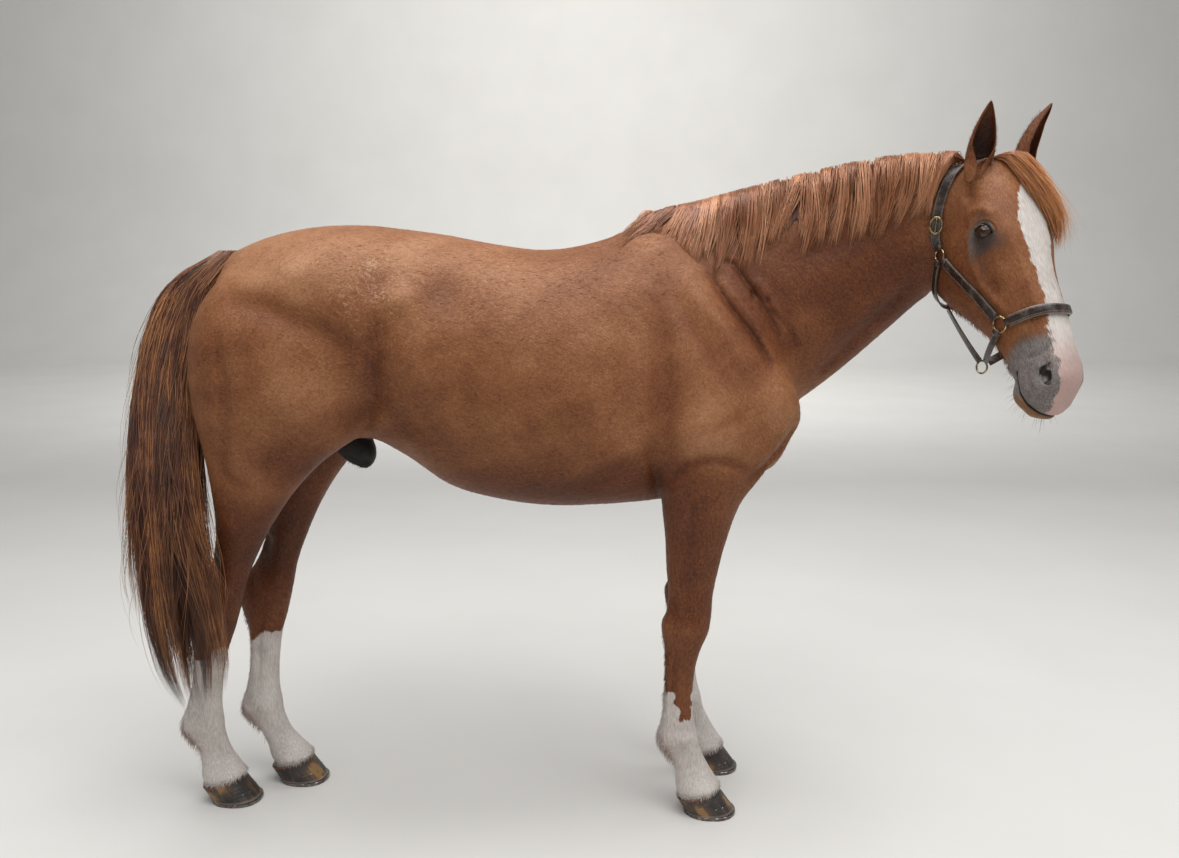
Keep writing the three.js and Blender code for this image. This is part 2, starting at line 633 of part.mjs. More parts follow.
/** A strap laid on the hide along a curve near the given places. */
function strapOnHide(places, count, width) {
  const curve = new THREE.CatmullRomCurve3(places.map((place) => onHead(...place)));
  const rise = STRAP.rise + STRAP.thickness / 2;
  const points = curve.getSpacedPoints(count).map((point) => onHide(point, rise, HIDE));
  return strapSolid(points, points.map(outward), width);
}

/** A strap that hangs free between two points, by way of a third. */
function strapInAir(from, by, to, facing, width) {
  const curve = new THREE.QuadraticBezierCurve3(from, by, to);
  const points = curve.getPoints(6);
  return strapSolid(points, points.map(() => facing), width);
}

/** A round ring that faces along a direction. */
function ringSolid(at, facing, radius, wire) {
  const turn = new THREE.Quaternion().setFromUnitVectors(new THREE.Vector3(0, 0, 1), facing);
  const torus = new THREE.TorusGeometry(radius, wire, 5, 14).applyQuaternion(turn);
  return solidOf(torus.translate(at.x, at.y, at.z));
}

/** A buckle: an oval frame that lies over a strap, its long way along the strap. */
function buckleSolid(place, ahead) {
  const at = laid(place, 8);
  const out = outward(at);
  const along = laid(ahead, 8).sub(at);
  along.addScaledVector(out, -along.dot(out)).normalize();
  const frame = new THREE.Shape().absellipse(0, 0, 17, 23, 0, 2 * Math.PI);
  frame.holes.push(new THREE.Path().absellipse(0, 0, 12, 18, 0, 2 * Math.PI));
  const plate = new THREE.ExtrudeGeometry(frame, { depth: 4, bevelEnabled: false, curveSegments: 8 });
  const across = new THREE.Vector3().crossVectors(along, out);
  return solidOf(plate.applyMatrix4(new THREE.Matrix4().makeBasis(across, along, out).setPosition(at)));
}

// Places on the head, on its right side; the left is the same with l turned over.
const CHEEK_RING = [411, 62, -118];
const UPPER_RING = [186, 100, -204];
const CHIN_RING = [470, 0, -250];
const mirror = ([s, l, n], hand) => [s, l * hand, n];

/** A run of places that ends on the middle line, carried on down the other side. */
const bothSides = (half) => [...half, ...half.slice(0, -1).reverse().map((place) => mirror(place, -1))];

/** Every ring of the headcollar, as {name: solid}, with wires thickened by a rise. */
function rings(rise = 0) {
  const made = {};
  for (const [word, hand] of [['right', 1], ['left', -1]]) {
    for (const [kind, place, radius] of [['cheek', CHEEK_RING, RING.radius], ['upper', UPPER_RING, 16]]) {
      const at = laid(mirror(place, hand), 5);
      made[`ring_${kind}_${word}`] = ringSolid(at, outward(at), radius, RING.wire + rise);
    }
  }
  const sideways = onHead(0, 1, 0).sub(onHead(0, 0, 0));
  made.ring_chin = ringSolid(onHead(...CHIN_RING), sideways, 16, RING.wire + rise);
  return made;
}

/** Every strap of the headcollar, as {name: solid}. */
function straps() {
  const down = onHead(0, 0, -1).sub(onHead(0, 0, 0));
  const made = {};
  const nose = [[415, 66, -92], [418, 55, -30], [424, 28, 4], [426, 0, 8]];
  made.halter_noseband = strapOnHide(bothSides(nose), 14);
  for (const [word, hand] of [['right', 1], ['left', -1]]) {
    const on = (...places) => places.map((place) => mirror(place, hand));
    made[`halter_cheek_${word}`] = strapOnHide(on([207, 102, -196], [305, 88, -156], [390, 66, -126]), 8);
    const cheek = on([168, 104, -204], [112, 104, -184], [58, 100, -146]);
    const poll = on([14, 84, -100], [-8, 50, -64], [-14, 4, -48]);
    made[`halter_crown_${word}`] = strapOnHide([...cheek, ...poll], 10);
    const outwards = onHead(0, hand, -0.4).sub(onHead(0, 0, 0)).normalize();
    made[`halter_chin_${word}`] = strapInAir(
      laid(mirror([426, 62, -134], hand), 5),
      onHead(452, 42 * hand, -190),
      onHead(464, 6 * hand, -232),
      outwards,
      18,
    );
  }
  const throat = [[200, 100, -222], [250, 90, -276], [286, 44, -308], [294, 0, -314]];
  made.halter_throat = strapOnHide(bothSides(throat), 14);
  made.halter_link = strapInAir(onHead(322, 0, -304), onHead(380, 0, -292), onHead(452, 0, -256), down, 18);
  return made;
}

/** Every piece of the headcollar, as [name, solid, material], clear of the hide and of each other. */
function headcollar(cutters) {
  const ringCutters = Object.values(rings(GAP));
  const done = [];
  const made = Object.entries(straps()).map(([name, solid]) => {
    const cut = clear(solid, ...cutters, ...ringCutters, ...done);
    done.push(cut);
    return [name, cut, LEATHER];
  });
  const metal = { ...rings(), buckle_crown: buckleSolid([108, 104, -182], [70, 102, -156]) };
  for (const [name, solid] of Object.entries(metal)) {
    made.push([name, clear(solid, ...cutters, ...done), BRASS]);
  }
  return made;
}

// ---------------------------------------------------------------- assembly
const trunk = trunkSolid();
const trunkCut = trunkSolid(GAP);
const eyeSockets = [1, -1].map((hand) => eyeSolid(hand, GAP));
const headWhole = headLoft.solid(22, 20);
const headCut = headLoft.solid(22, 20, GAP);
const neckWhole = neckLoft.solid(10, 20);
const neckCut = neckLoft.solid(10, 20, GAP);

const horse = new THREE.Group();
const add = (name, solid, material) => horse.add(node(name, solid, material));

const tailCutters = [trunkCut];
add('trunk', trunk, COAT);
add('neck', clear(neckWhole, trunkCut, headCut), COAT);
add('head', clear(headWhole, ...eyeSockets), COAT);
for (const [name, leg] of Object.entries(LEGS)) {
  add(`leg_${name}`, legSolid(leg, leg.white + GAP, leg.cut), COAT);
  add(`stocking_${name}`, legSolid(leg, 0, leg.white), STOCKING);
  add(`hoof_${name}`, hoofSolid(leg), HORN);
  add(`shoe_${name}`, shoeSolid(leg), SHOE_STEEL);
  tailCutters.push(leg.loft.solid(22, 12, GAP));
}
const ears = {
  ear_right: earSolid(1, [-100, 95, 60], [0, 0.55, 0.83]),
  ear_left: earSolid(-1, [-114, -112, 86], [0, 0.1, 0.99]),
};
for (const [name, ear] of Object.entries(ears)) add(name, clear(ear, headCut, neckCut), COAT);
add('eye_right', eyeSolid(1), CORNEA);
add('eye_left', eyeSolid(-1), CORNEA);
const maneCutters = [neckCut, trunkCut, headCut, ...Object.values(ears)];
const mane = clear(maneSolid(), ...maneCutters);
add('mane', mane, HAIR);
add('forelock', clear(forelockSolid(), headCut, ...Object.values(ears), mane), HAIR);
add('tail', clear(tailLoft.solid(13, 12), ...tailCutters), TAIL_HAIR);
add('sheath', clear(sheathLoft.solid(5, 12), trunkCut), DARK_SKIN);
const collarCutters = [headCut, neckCut, mane, ...Object.values(ears)];
for (const piece of headcollar(collarCutters)) add(...piece);

horse.position.set(ORIGIN.x, ORIGIN.y, 0);
export default horse;
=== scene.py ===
"""A chestnut riding horse standing still, life size, in a leather headcollar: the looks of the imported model.

Shapes are worked out in millimetres on the horse's own axes (+X forward, +Y to its left, +Z up, y = 0 on its
median plane, the floor at z = 0) and put into Blender in metres.
"""
import logging
from collections.abc import Callable, Sequence
from dataclasses import dataclass, field
from enum import Enum
from functools import cached_property

import bpy
import numpy as np
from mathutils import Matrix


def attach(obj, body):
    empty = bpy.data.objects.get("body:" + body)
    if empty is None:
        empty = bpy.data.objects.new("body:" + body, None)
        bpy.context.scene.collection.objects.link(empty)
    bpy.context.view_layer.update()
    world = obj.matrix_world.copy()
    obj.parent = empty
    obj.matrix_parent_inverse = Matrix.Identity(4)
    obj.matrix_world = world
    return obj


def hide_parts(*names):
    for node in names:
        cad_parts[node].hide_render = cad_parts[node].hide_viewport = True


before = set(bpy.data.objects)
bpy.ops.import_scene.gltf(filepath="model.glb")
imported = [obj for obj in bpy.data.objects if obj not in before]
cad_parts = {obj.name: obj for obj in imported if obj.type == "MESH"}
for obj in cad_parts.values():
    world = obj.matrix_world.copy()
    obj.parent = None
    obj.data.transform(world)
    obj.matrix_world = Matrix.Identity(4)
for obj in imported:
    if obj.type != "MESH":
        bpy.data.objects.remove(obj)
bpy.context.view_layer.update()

import openvdb

Array, Material, Socket = np.ndarray, bpy.types.Material, bpy.types.NodeSocket
log = logging.getLogger("horse")
ORIGIN = np.array([29.0, 70.0, 0.0])  # the horse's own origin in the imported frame
SEED = 20417


class Side(Enum):
    """The horse's sides, by the sign of y."""

    RIGHT = -1
    LEFT = 1


# ------------------------------------------------------------------ sections of the body
def full(*rows: tuple[float, ...]) -> list[tuple[float, ...]]:
    """Section rows with the columns left off put back: both halves round (2), and no lean.

    Columns: place along the axis, highest, lowest, where it is widest, half width, sideways offset, roundness
    of the upper and lower halves, and sideways lean for each millimetre above the widest place.
    """
    return [(*row, *(2.0, 2.0, 0)[len(row) - 6 :]) for row in rows]


TRUNK = full(
    (-1005, 1507, 1207, 1377, 95, 0), (-960, 1539, 1097, 1377, 150, 0), (-860, 1582, 1017, 1377, 215, 0),
    (-740, 1608, 1046, 1387, 255, 0, 2.05, 2), (-610, 1614, 1042, 1377, 272, 0, 2.15, 2),
    (-500, 1604, 988, 1327, 268, 0, 2.15, 2.05), (-380, 1588, 907, 1262, 280, 0, 2.1, 2.1),
    (-250, 1564, 870, 1212, 297, 0, 2.1, 2.15), (-110, 1550, 852, 1177, 300, 0, 2, 2.15),
    (30, 1575, 854, 1157, 284, 0, 1.85, 2.15), (150, 1622, 862, 1147, 255, 0, 1.65, 2.15),
    (260, 1629, 875, 1147, 228, 0, 1.65, 2.2), (370, 1567, 895, 1142, 208, 0, 1.8, 2.2),
    (470, 1437, 940, 1127, 184, 0, 2, 2.2), (560, 1290, 990, 1105, 140, 0, 2, 2.1),
)
NECK = full(
    (170, 1617, 1127, 1317, 95, 0, 1.7, 2), (300, 1645, 1057, 1307, 128, 0, 1.75, 2),
    (430, 1678, 1062, 1347, 132, 0, 1.75, 2), (530, 1704, 1107, 1387, 122, -3, 1.75, 2, -0.03),
    (620, 1724, 1167, 1437, 112, -10, 1.75, 2, -0.08), (710, 1743, 1239, 1492, 100, -24, 1.8, 2, -0.15),
    (800, 1755, 1322, 1540, 92, -46, 1.85, 2, -0.24), (880, 1760, 1402, 1590, 88, -76, 1.9, 2, -0.32),
    (960, 1755, 1477, 1625, 88, -115, 2, 2, -0.4),
)
HEAD = full(
    (-18, -14, -140, -70, 52, 0, 2.2, 2), (15, 6, -185, -70, 76, 0, 2.2, 2), (70, 15, -235, -62, 92, 0, 2.2, 2),
    (125, 20, -285, -58, 101, 0, 2.2, 2.2), (180, 22, -312, -55, 107, 0, 2.2, 2.3),
    (235, 17, -308, -58, 104, 0, 2.2, 2.4), (290, 9, -282, -68, 90, 0, 2.1, 2.4),
    (345, 7, -246, -74, 79, 0, 2.1, 2.3), (400, 8, -212, -72, 69, 0, 2.2, 2.3),
    (455, 6, -184, -68, 61, 0, 2.3, 2.3), (505, 2, -171, -68, 58, 0, 2.4, 2.3),
    (550, -3, -171, -68, 61, 0, 2.5, 2.3), (595, -16, -172, -76, 62, 0, 2.5, 2.3),
    (635, -52, -158, -98, 49, 0, 2.4, 2.3), (662, -84, -136, -110, 34, 0, 2.2, 2.1),
)
FORELEG = full(
    (1537, 250, 110, 180, 42, 66), (1437, 335, 70, 195, 72, 112), (1307, 430, 55, 235, 84, 140),
    (1197, 515, 70, 290, 88, 150, 2.1, 2), (1107, 548, 100, 330, 90, 150, 2.1, 2),
    (1027, 515, 135, 320, 86, 152, 2.1, 2), (957, 455, 165, 300, 80, 156, 2.1, 2.1),
    (887, 402, 186, 290, 71, 159, 2.1, 2.1), (797, 368, 198, 282, 61, 160, 2.1, 2.1),
    (707, 347, 203, 277, 52, 157, 2.1, 2.1), (637, 334, 209, 272, 45, 154, 2.2, 2.1),
    (577, 330, 204, 270, 47, 151, 2.3, 2.1), (527, 322, 194, 264, 48, 149, 2.3, 2.1),
    (477, 303, 204, 256, 43, 146, 2.2, 2.1), (427, 291, 205, 250, 34, 144, 2.1, 2.1),
    (347, 284, 203, 246, 31, 141, 2.1, 2.1), (277, 288, 196, 246, 35, 139, 2.1, 2.1),
    (227, 300, 186, 248, 42, 137, 2.2, 2.1), (196, 305, 196, 255, 38, 136, 2.2, 2.1),
    (150, 325, 226, 278, 34, 135, 2.1, 2.1), (112, 346, 236, 293, 44, 134, 2.1, 2.1),
    (76, 368, 238, 305, 56, 134, 2.1, 2.1), (40, 380, 252, 318, 50, 134, 2.1, 2.1),
)
HINDLEG = full(
    (1522, -640, -900, -760, 50, 90), (1447, -590, -985, -790, 108, 118, 2.1, 2),
    (1347, -570, -1034, -810, 132, 136, 2.1, 2.1), (1237, -560, -1046, -820, 138, 140, 2.1, 2.1),
    (1137, -578, -1040, -820, 132, 140, 2.1, 2.1), (1057, -630, -1026, -830, 118, 140, 2.1, 2.1),
    (987, -712, -1014, -860, 100, 137, 2.1, 2.1), (917, -780, -1008, -890, 85, 129, 2.1, 2.1),
    (847, -834, -1006, -915, 71, 120, 2.1, 2), (777, -876, -1012, -940, 58, 110, 2.1, 1.9),
    (707, -912, -1032, -970, 48, 100, 2.1, 1.8), (647, -938, -1066, -990, 44, 93, 2.2, 1.8),
    (602, -952, -1112, -1004, 48, 88, 2.2, 1.8), (557, -966, -1122, -1022, 50, 83, 2.3, 1.9),
    (507, -982, -1114, -1038, 44, 79, 2.2, 2), (447, -1004, -1102, -1050, 34, 75, 2.1, 2.1),
    (357, -1024, -1112, -1066, 32, 71, 2.1, 2.1), (287, -1032, -1132, -1076, 36, 68, 2.1, 2.1),
    (239, -1030, -1150, -1084, 42, 66, 2.2, 2.1), (203, -1028, -1142, -1082, 38, 65, 2.2, 2.1),
    (152, -1012, -1110, -1060, 34, 64, 2.1, 2.1), (112, -987, -1098, -1041, 44, 63, 2.1, 2.1),
    (76, -964, -1095, -1028, 56, 62, 2.1, 2.1), (40, -950, -1078, -1014, 50, 62, 2.1, 2.1),
)
TAIL = full(
    (1549, -925, -1000, -962, 26, 0), (1526, -944, -1040, -992, 33, 0), (1490, -972, -1105, -1038, 42, -3),
    (1430, -1000, -1168, -1084, 52, -10), (1330, -1024, -1205, -1114, 60, -28),
    (1206, -1037, -1225, -1131, 68, -58), (1077, -1031, -1234, -1132, 74, -98),
    (949, -1014, -1234, -1124, 78, -140), (823, -995, -1228, -1112, 78, -172),
    (691, -978, -1222, -1100, 74, -194), (581, -974, -1212, -1093, 68, -202),
    (470, -972, -1186, -1079, 58, -206), (386, -992, -1150, -1071, 44, -206),
    (326, -1026, -1100, -1063, 24, -204),
)
SHEATH = full(
    (-715, 1077, 1008, 1047, 36, 0), (-655, 1067, 958, 1020, 46, 0), (-590, 1037, 950, 992, 37, 0),
)
HIGH, LOW, WIDE, HALF, ASIDE, UP_ROUND, DOWN_ROUND, LEAN = range(1, 9)


# ------------------------------------------------------------------ small mathematics
def unit(vectors: Array) -> Array:
    """Vectors brought to length 1, along the last axis."""
    return vectors / np.maximum(np.linalg.norm(vectors, axis=-1, keepdims=True), 1e-9)


def circle(count: int) -> Array:
    """Angles evenly round a circle."""
    return np.linspace(0, 2 * np.pi, count, endpoint=False)


def ease(low: float, high: float, value: Array) -> Array:
    """A smooth step from 0 at low to 1 at high."""
    t = np.clip((value - low) / (high - low), 0, 1)
    return t * t * (3 - 2 * t)


def soft_min(a: Array, b: Array, width: float) -> Array:
    """The smaller of two values, rounded over where they differ by less than width (a quadratic blend)."""
    h = np.clip(0.5 + 0.5 * (b - a) / width, 0, 1)
    return b + (a - b) * h - width * h * (1 - h)


def soft_max(a: Array, b: Array, width: float) -> Array:
    """The larger of two values, rounded in the same way."""
    return -soft_min(-a, -b, width)


def bell(*ways: tuple[Array, float, float]) -> Array:
    """A bell-shaped bump: exp of minus the sum of ((value - middle) / size) squared."""
    return np.exp(-sum(((value - middle) / size) ** 2 for value, middle, size in ways))


def along_line(points: Array, line: Array | Sequence[tuple[float, float]]) -> tuple[Array, Array]:
    """Distance from 2-D points to a broken line.

    Args:
        points: n by 2.
        line: the line's corners.

    Returns:
        The distances, and the share of the line's length (0 to 1) at the nearest places.
    """
    corners = np.asarray(line, float)
    lengths = np.linalg.norm(np.diff(corners, axis=0), axis=1)
    before = np.concatenate([[0], np.cumsum(lengths)])
    best, share = np.full(len(points), np.inf), np.zeros(len(points))
    for start, end, length, run in zip(corners, corners[1:], lengths, before):
        t = np.clip(((points - start) @ (end - start)) / length**2, 0, 1)
        away = np.linalg.norm(points - start - t[:, None] * (end - start), axis=1)
        nearer = away < best
        best = np.where(nearer, away, best)
        share = np.where(nearer, (run + t * length) / before[-1], share)
    return best, share


def through(points: Sequence[Sequence[float]], count: int) -> Array:
    """Evenly spaced places on a smooth curve through points (a Catmull-Rom spline), as count rows."""
    p = np.asarray(points, float)
    ends = np.vstack([2 * p[0] - p[1], p, 2 * p[-1] - p[-2]])
    t = np.linspace(0, len(p) - 1 - 1e-9, count * 8)
    i, u = t.astype(int), (t % 1)[:, None]
    a, b, c, d = ends[i], ends[i + 1], ends[i + 2], ends[i + 3]
    fine = 0.5 * (2 * b + (c - a) * u + (2 * a - 5 * b + 4 * c - d) * u**2 + (3 * b - a - 3 * c + d) * u**3)
    run = np.concatenate([[0], np.cumsum(np.linalg.norm(np.diff(fine, axis=0), axis=1))])
    even = np.linspace(0, run[-1], count)
    return np.stack([np.interp(even, run, column) for column in fine.T], axis=1)


# ------------------------------------------------------------------ flesh as a field
@dataclass
class Loft:
    """A run of sections along an axis: each is a superellipse whose upper and lower halves differ.

    Attributes:
        rows: one row of section columns for each place along the axis.
        caps: lengths of the rounded ends at the start and the end.
        origin: where the axes start, on the horse's axes.
        axes: three rows, the directions along, across and up.
    """

    rows: Array
    caps: tuple[float, float]
    origin: Array = field(default_factory=lambda: np.zeros(3))
    axes: Array = field(default_factory=lambda: np.eye(3))

    def __post_init__(self) -> None:
        """Sorts the rows along the axis."""
        self.rows = np.asarray(sorted(map(tuple, self.rows)), float)
        self.start, self.end = self.rows[0, 0], self.rows[-1, 0]

    def section(self, at: Array) -> Array:
        """Section columns at places along the axis: a cubic through the neighbouring rows."""
        rows = self.rows
        at = np.clip(at, self.start, self.end)
        i = np.clip(np.searchsorted(rows[:, 0], at, side="right") - 1, 0, len(rows) - 2)
        before, a, b = rows[np.maximum(i - 1, 0)], rows[i], rows[i + 1]
        after = rows[np.minimum(i + 2, len(rows) - 1)]
        span = (b[:, 0] - a[:, 0])[:, None]
        u = (at - a[:, 0])[:, None] / span
        slope_a = (b - before) / (b[:, :1] - before[:, :1]) * span
        slope_b = (after - a) / (after[:, :1] - a[:, :1]) * span
        return (a * (1 + 2 * u) + slope_a * u) * (1 - u) ** 2 + (b * (3 - 2 * u) - slope_b * (1 - u)) * u * u

    @cached_property
    def fine(self) -> Array:
        return self.section(np.arange(self.start, self.end + 1.0))

    def local(self, points: Array) -> Array:
        """Points in the loft's own directions."""
        return (points - self.origin) @ self.axes.T

    def world(self, local: Array) -> Array:
        """Points given in the loft's own directions, on the horse's axes."""
        return local @ self.axes + self.origin

    def look_up(self, at: Array) -> Array:
        """Section columns at places along the axis, by straight lines between the fine sections."""
        step = np.clip(at - self.start, 0, len(self.fine) - 1.001)
        i = step.astype(int)
        share = (step - i)[:, None]
        return self.fine[i] * (1 - share) + self.fine[i + 1] * share

    def distance(self, points: Array) -> Array:
        """How far points are outside the loft, negative inside: (superellipse norm - 1) times the local radius."""
        at, across, up = self.local(points).T
        q = self.look_up(at)
        rise = up - q[:, WIDE]
        upper = rise >= 0
        reach = np.where(upper, q[:, HIGH] - q[:, WIDE], q[:, WIDE] - q[:, LOW])
        power = np.where(upper, q[:, UP_ROUND], q[:, DOWN_ROUND])
        side = np.abs(across - q[:, ASIDE] - q[:, LEAN] * rise) / q[:, HALF]
        norm = (side**power + np.abs(rise / reach) ** power) ** (1 / power)
        first, last = self.caps
        past = np.maximum((self.start + first - at) / first, (at - self.end + last) / last)
        return (np.hypot(norm, np.maximum(past, 0)) - 1) * np.minimum(q[:, HALF], reach)

    def surface(self, at: Array, angle: Array) -> Array:
        """Points on the loft at places along it and angles round it.

        Args:
            at: places along the axis.
            angle: 0 on the across side, a quarter turn at the top.
        """
        q = self.look_up(np.asarray(at, float))
        c, s = np.cos(angle), np.sin(angle)
        power = 2 / np.where(s >= 0, q[:, UP_ROUND], q[:, DOWN_ROUND])
        reach = np.where(s >= 0, q[:, HIGH] - q[:, WIDE], q[:, WIDE] - q[:, LOW])
        up = reach * np.sign(s) * np.abs(s) ** power
        across = q[:, HALF] * np.sign(c) * np.abs(c) ** power
        local = np.stack([np.asarray(at, float), q[:, ASIDE] + across + q[:, LEAN] * up, q[:, WIDE] + up], axis=1)
        return self.world(local)

    @cached_property
    def box(self) -> tuple[Array, Array]:
        """Lowest and highest corner of the loft on the horse's axes."""
        at, angle = np.meshgrid(np.linspace(self.start, self.end, 60), np.linspace(0, 2 * np.pi, 32))
        p = self.surface(at.ravel(), angle.ravel())
        return p.min(0), p.max(0)


ALONG_Z = np.array([[0.0, 0, 1], [0, 1, 0], [1, 0, 0]])


def head_axes(yaw: float, pitch: float, roll: float) -> Array:
    """Directions down the face, to the horse's right and out of the face, for a head turned by degrees."""
    yaw, pitch, roll = np.radians([yaw, pitch, roll])
    heading = np.array([np.cos(yaw), -np.sin(yaw), 0])
    right = np.array([-np.sin(yaw), -np.cos(yaw), 0])
    up = np.array([0, 0, 1.0])
    down = -up * np.cos(pitch) + heading * np.sin(pitch)
    out = heading * np.cos(pitch) + up * np.sin(pitch)
    return np.stack([down * np.cos(roll) - right * np.sin(roll), right * np.cos(roll) + down * np.sin(roll), out])


@dataclass(frozen=True)
class Leg:
    """How one leg stands: its table, step forward, toe forward, side, the height where its white ends, its pair."""

    name: str
    table: list[tuple[float, ...]]
    step: float
    toe: float
    side: Side
    white: float
    fore: bool

    def forward(self, z: Array) -> Array:
        """How far the leg is carried forward at a height."""
        swing = self.step * np.maximum(0, 1 - np.asarray(z, float) / 1250) ** 0.7
        return swing + self.toe * np.maximum(0, 1 - np.asarray(z, float) / 160)

    @cached_property
    def loft(self) -> Loft:
        """The leg as a loft along its height."""
        rows = np.array(self.table, float)
        rows[:, [HIGH, LOW, WIDE]] += self.forward(rows[:, 0])[:, None]
        rows[:, ASIDE] *= self.side.value
        return Loft(rows, (8, 50), axes=ALONG_Z)

    @cached_property
    def heel(self) -> tuple[float, float]:
        """x of the heel at the ground and y of the hoof's middle."""
        low = self.loft.section(np.array([80.0]))[0]
        return low[LOW] + 34, low[ASIDE]

    def mine(self, points: Array) -> Array:
        """Which points are on this leg's quarter of the horse."""
        return (points[:, 1] * self.side.value > 0) & ((points[:, 0] > -300) == self.fore)

    def behind(self, points: Array) -> Array:
        """How far points are in front of the leg's back."""
        return points[:, 0] - self.loft.look_up(points[:, 2])[:, LOW]

    def above_coronet(self, points: Array) -> Array:
        """Height of points above the sloping line where the hair meets the hoof."""
        slope = np.arctan2(88 - 46, 138)
        return (points[:, 2] - 46) * np.cos(slope) - (points[:, 0] - self.heel[0] + 30) * np.sin(slope)


LEGS = (
    Leg("fore_right", FORELEG, 0, 0, Side.RIGHT, 296, True),
    Leg("fore_left", FORELEG, 42, 0, Side.LEFT, 486, True),
    Leg("hind_right", HINDLEG, 0, -16, Side.RIGHT, 448, False),
    Leg("hind_left", HINDLEG, 150, 20, Side.LEFT, 448, False),
)


class View(Enum):
    """The side view that a piece of relief is drawn in."""

    BODY = 0  # x and z of the horse
    FORELEG = 1  # x and z of a foreleg standing straight
    HINDLEG = 2  # x and z of a hind leg standing straight
    HEAD = 3  # down the face and out of the face


@dataclass(frozen=True)
class Relief:
    """A swell (deep above 0) or hollow (below 0) drawn in side view, as a line or one place, in millimetres.

    It lifts the hide by deep times exp(-(distance / wide) squared), fading towards a line's ends.
    """

    flat: tuple[float, ...]  # the line's corners, one after another
    wide: float
    deep: float
    off_middle: float = 60.0  # fades out nearer the median plane than this
    tall: float = 0.0  # for one place: its half height, where it isn't round
    sides: tuple[Side, ...] = (Side.RIGHT, Side.LEFT)

    @cached_property
    def line(self) -> Array:
        """The line's corners, n by 2."""
        return np.reshape(self.flat, (-1, 2))

    def lift(self, flat: Array, aside: Array) -> Array:
        """How far the hide is lifted.

        Args:
            flat: n by 2 places in the side view.
            aside: distances from the middle, positive to the left.
        """
        if len(self.line) == 1:
            tall = self.tall or self.wide
            away = np.hypot((flat[:, 0] - self.line[0][0]) / self.wide, (flat[:, 1] - self.line[0][1]) / tall)
            strength = np.exp(-(away**2))
        else:
            away, share = along_line(flat, self.line)
            strength = np.exp(-((away / self.wide) ** 2)) * (4 * share * (1 - share) + 0.02) ** 0.45
        mask = sum(ease(self.off_middle * 0.4, self.off_middle, aside * side.value) for side in self.sides)
        return self.deep * strength * mask


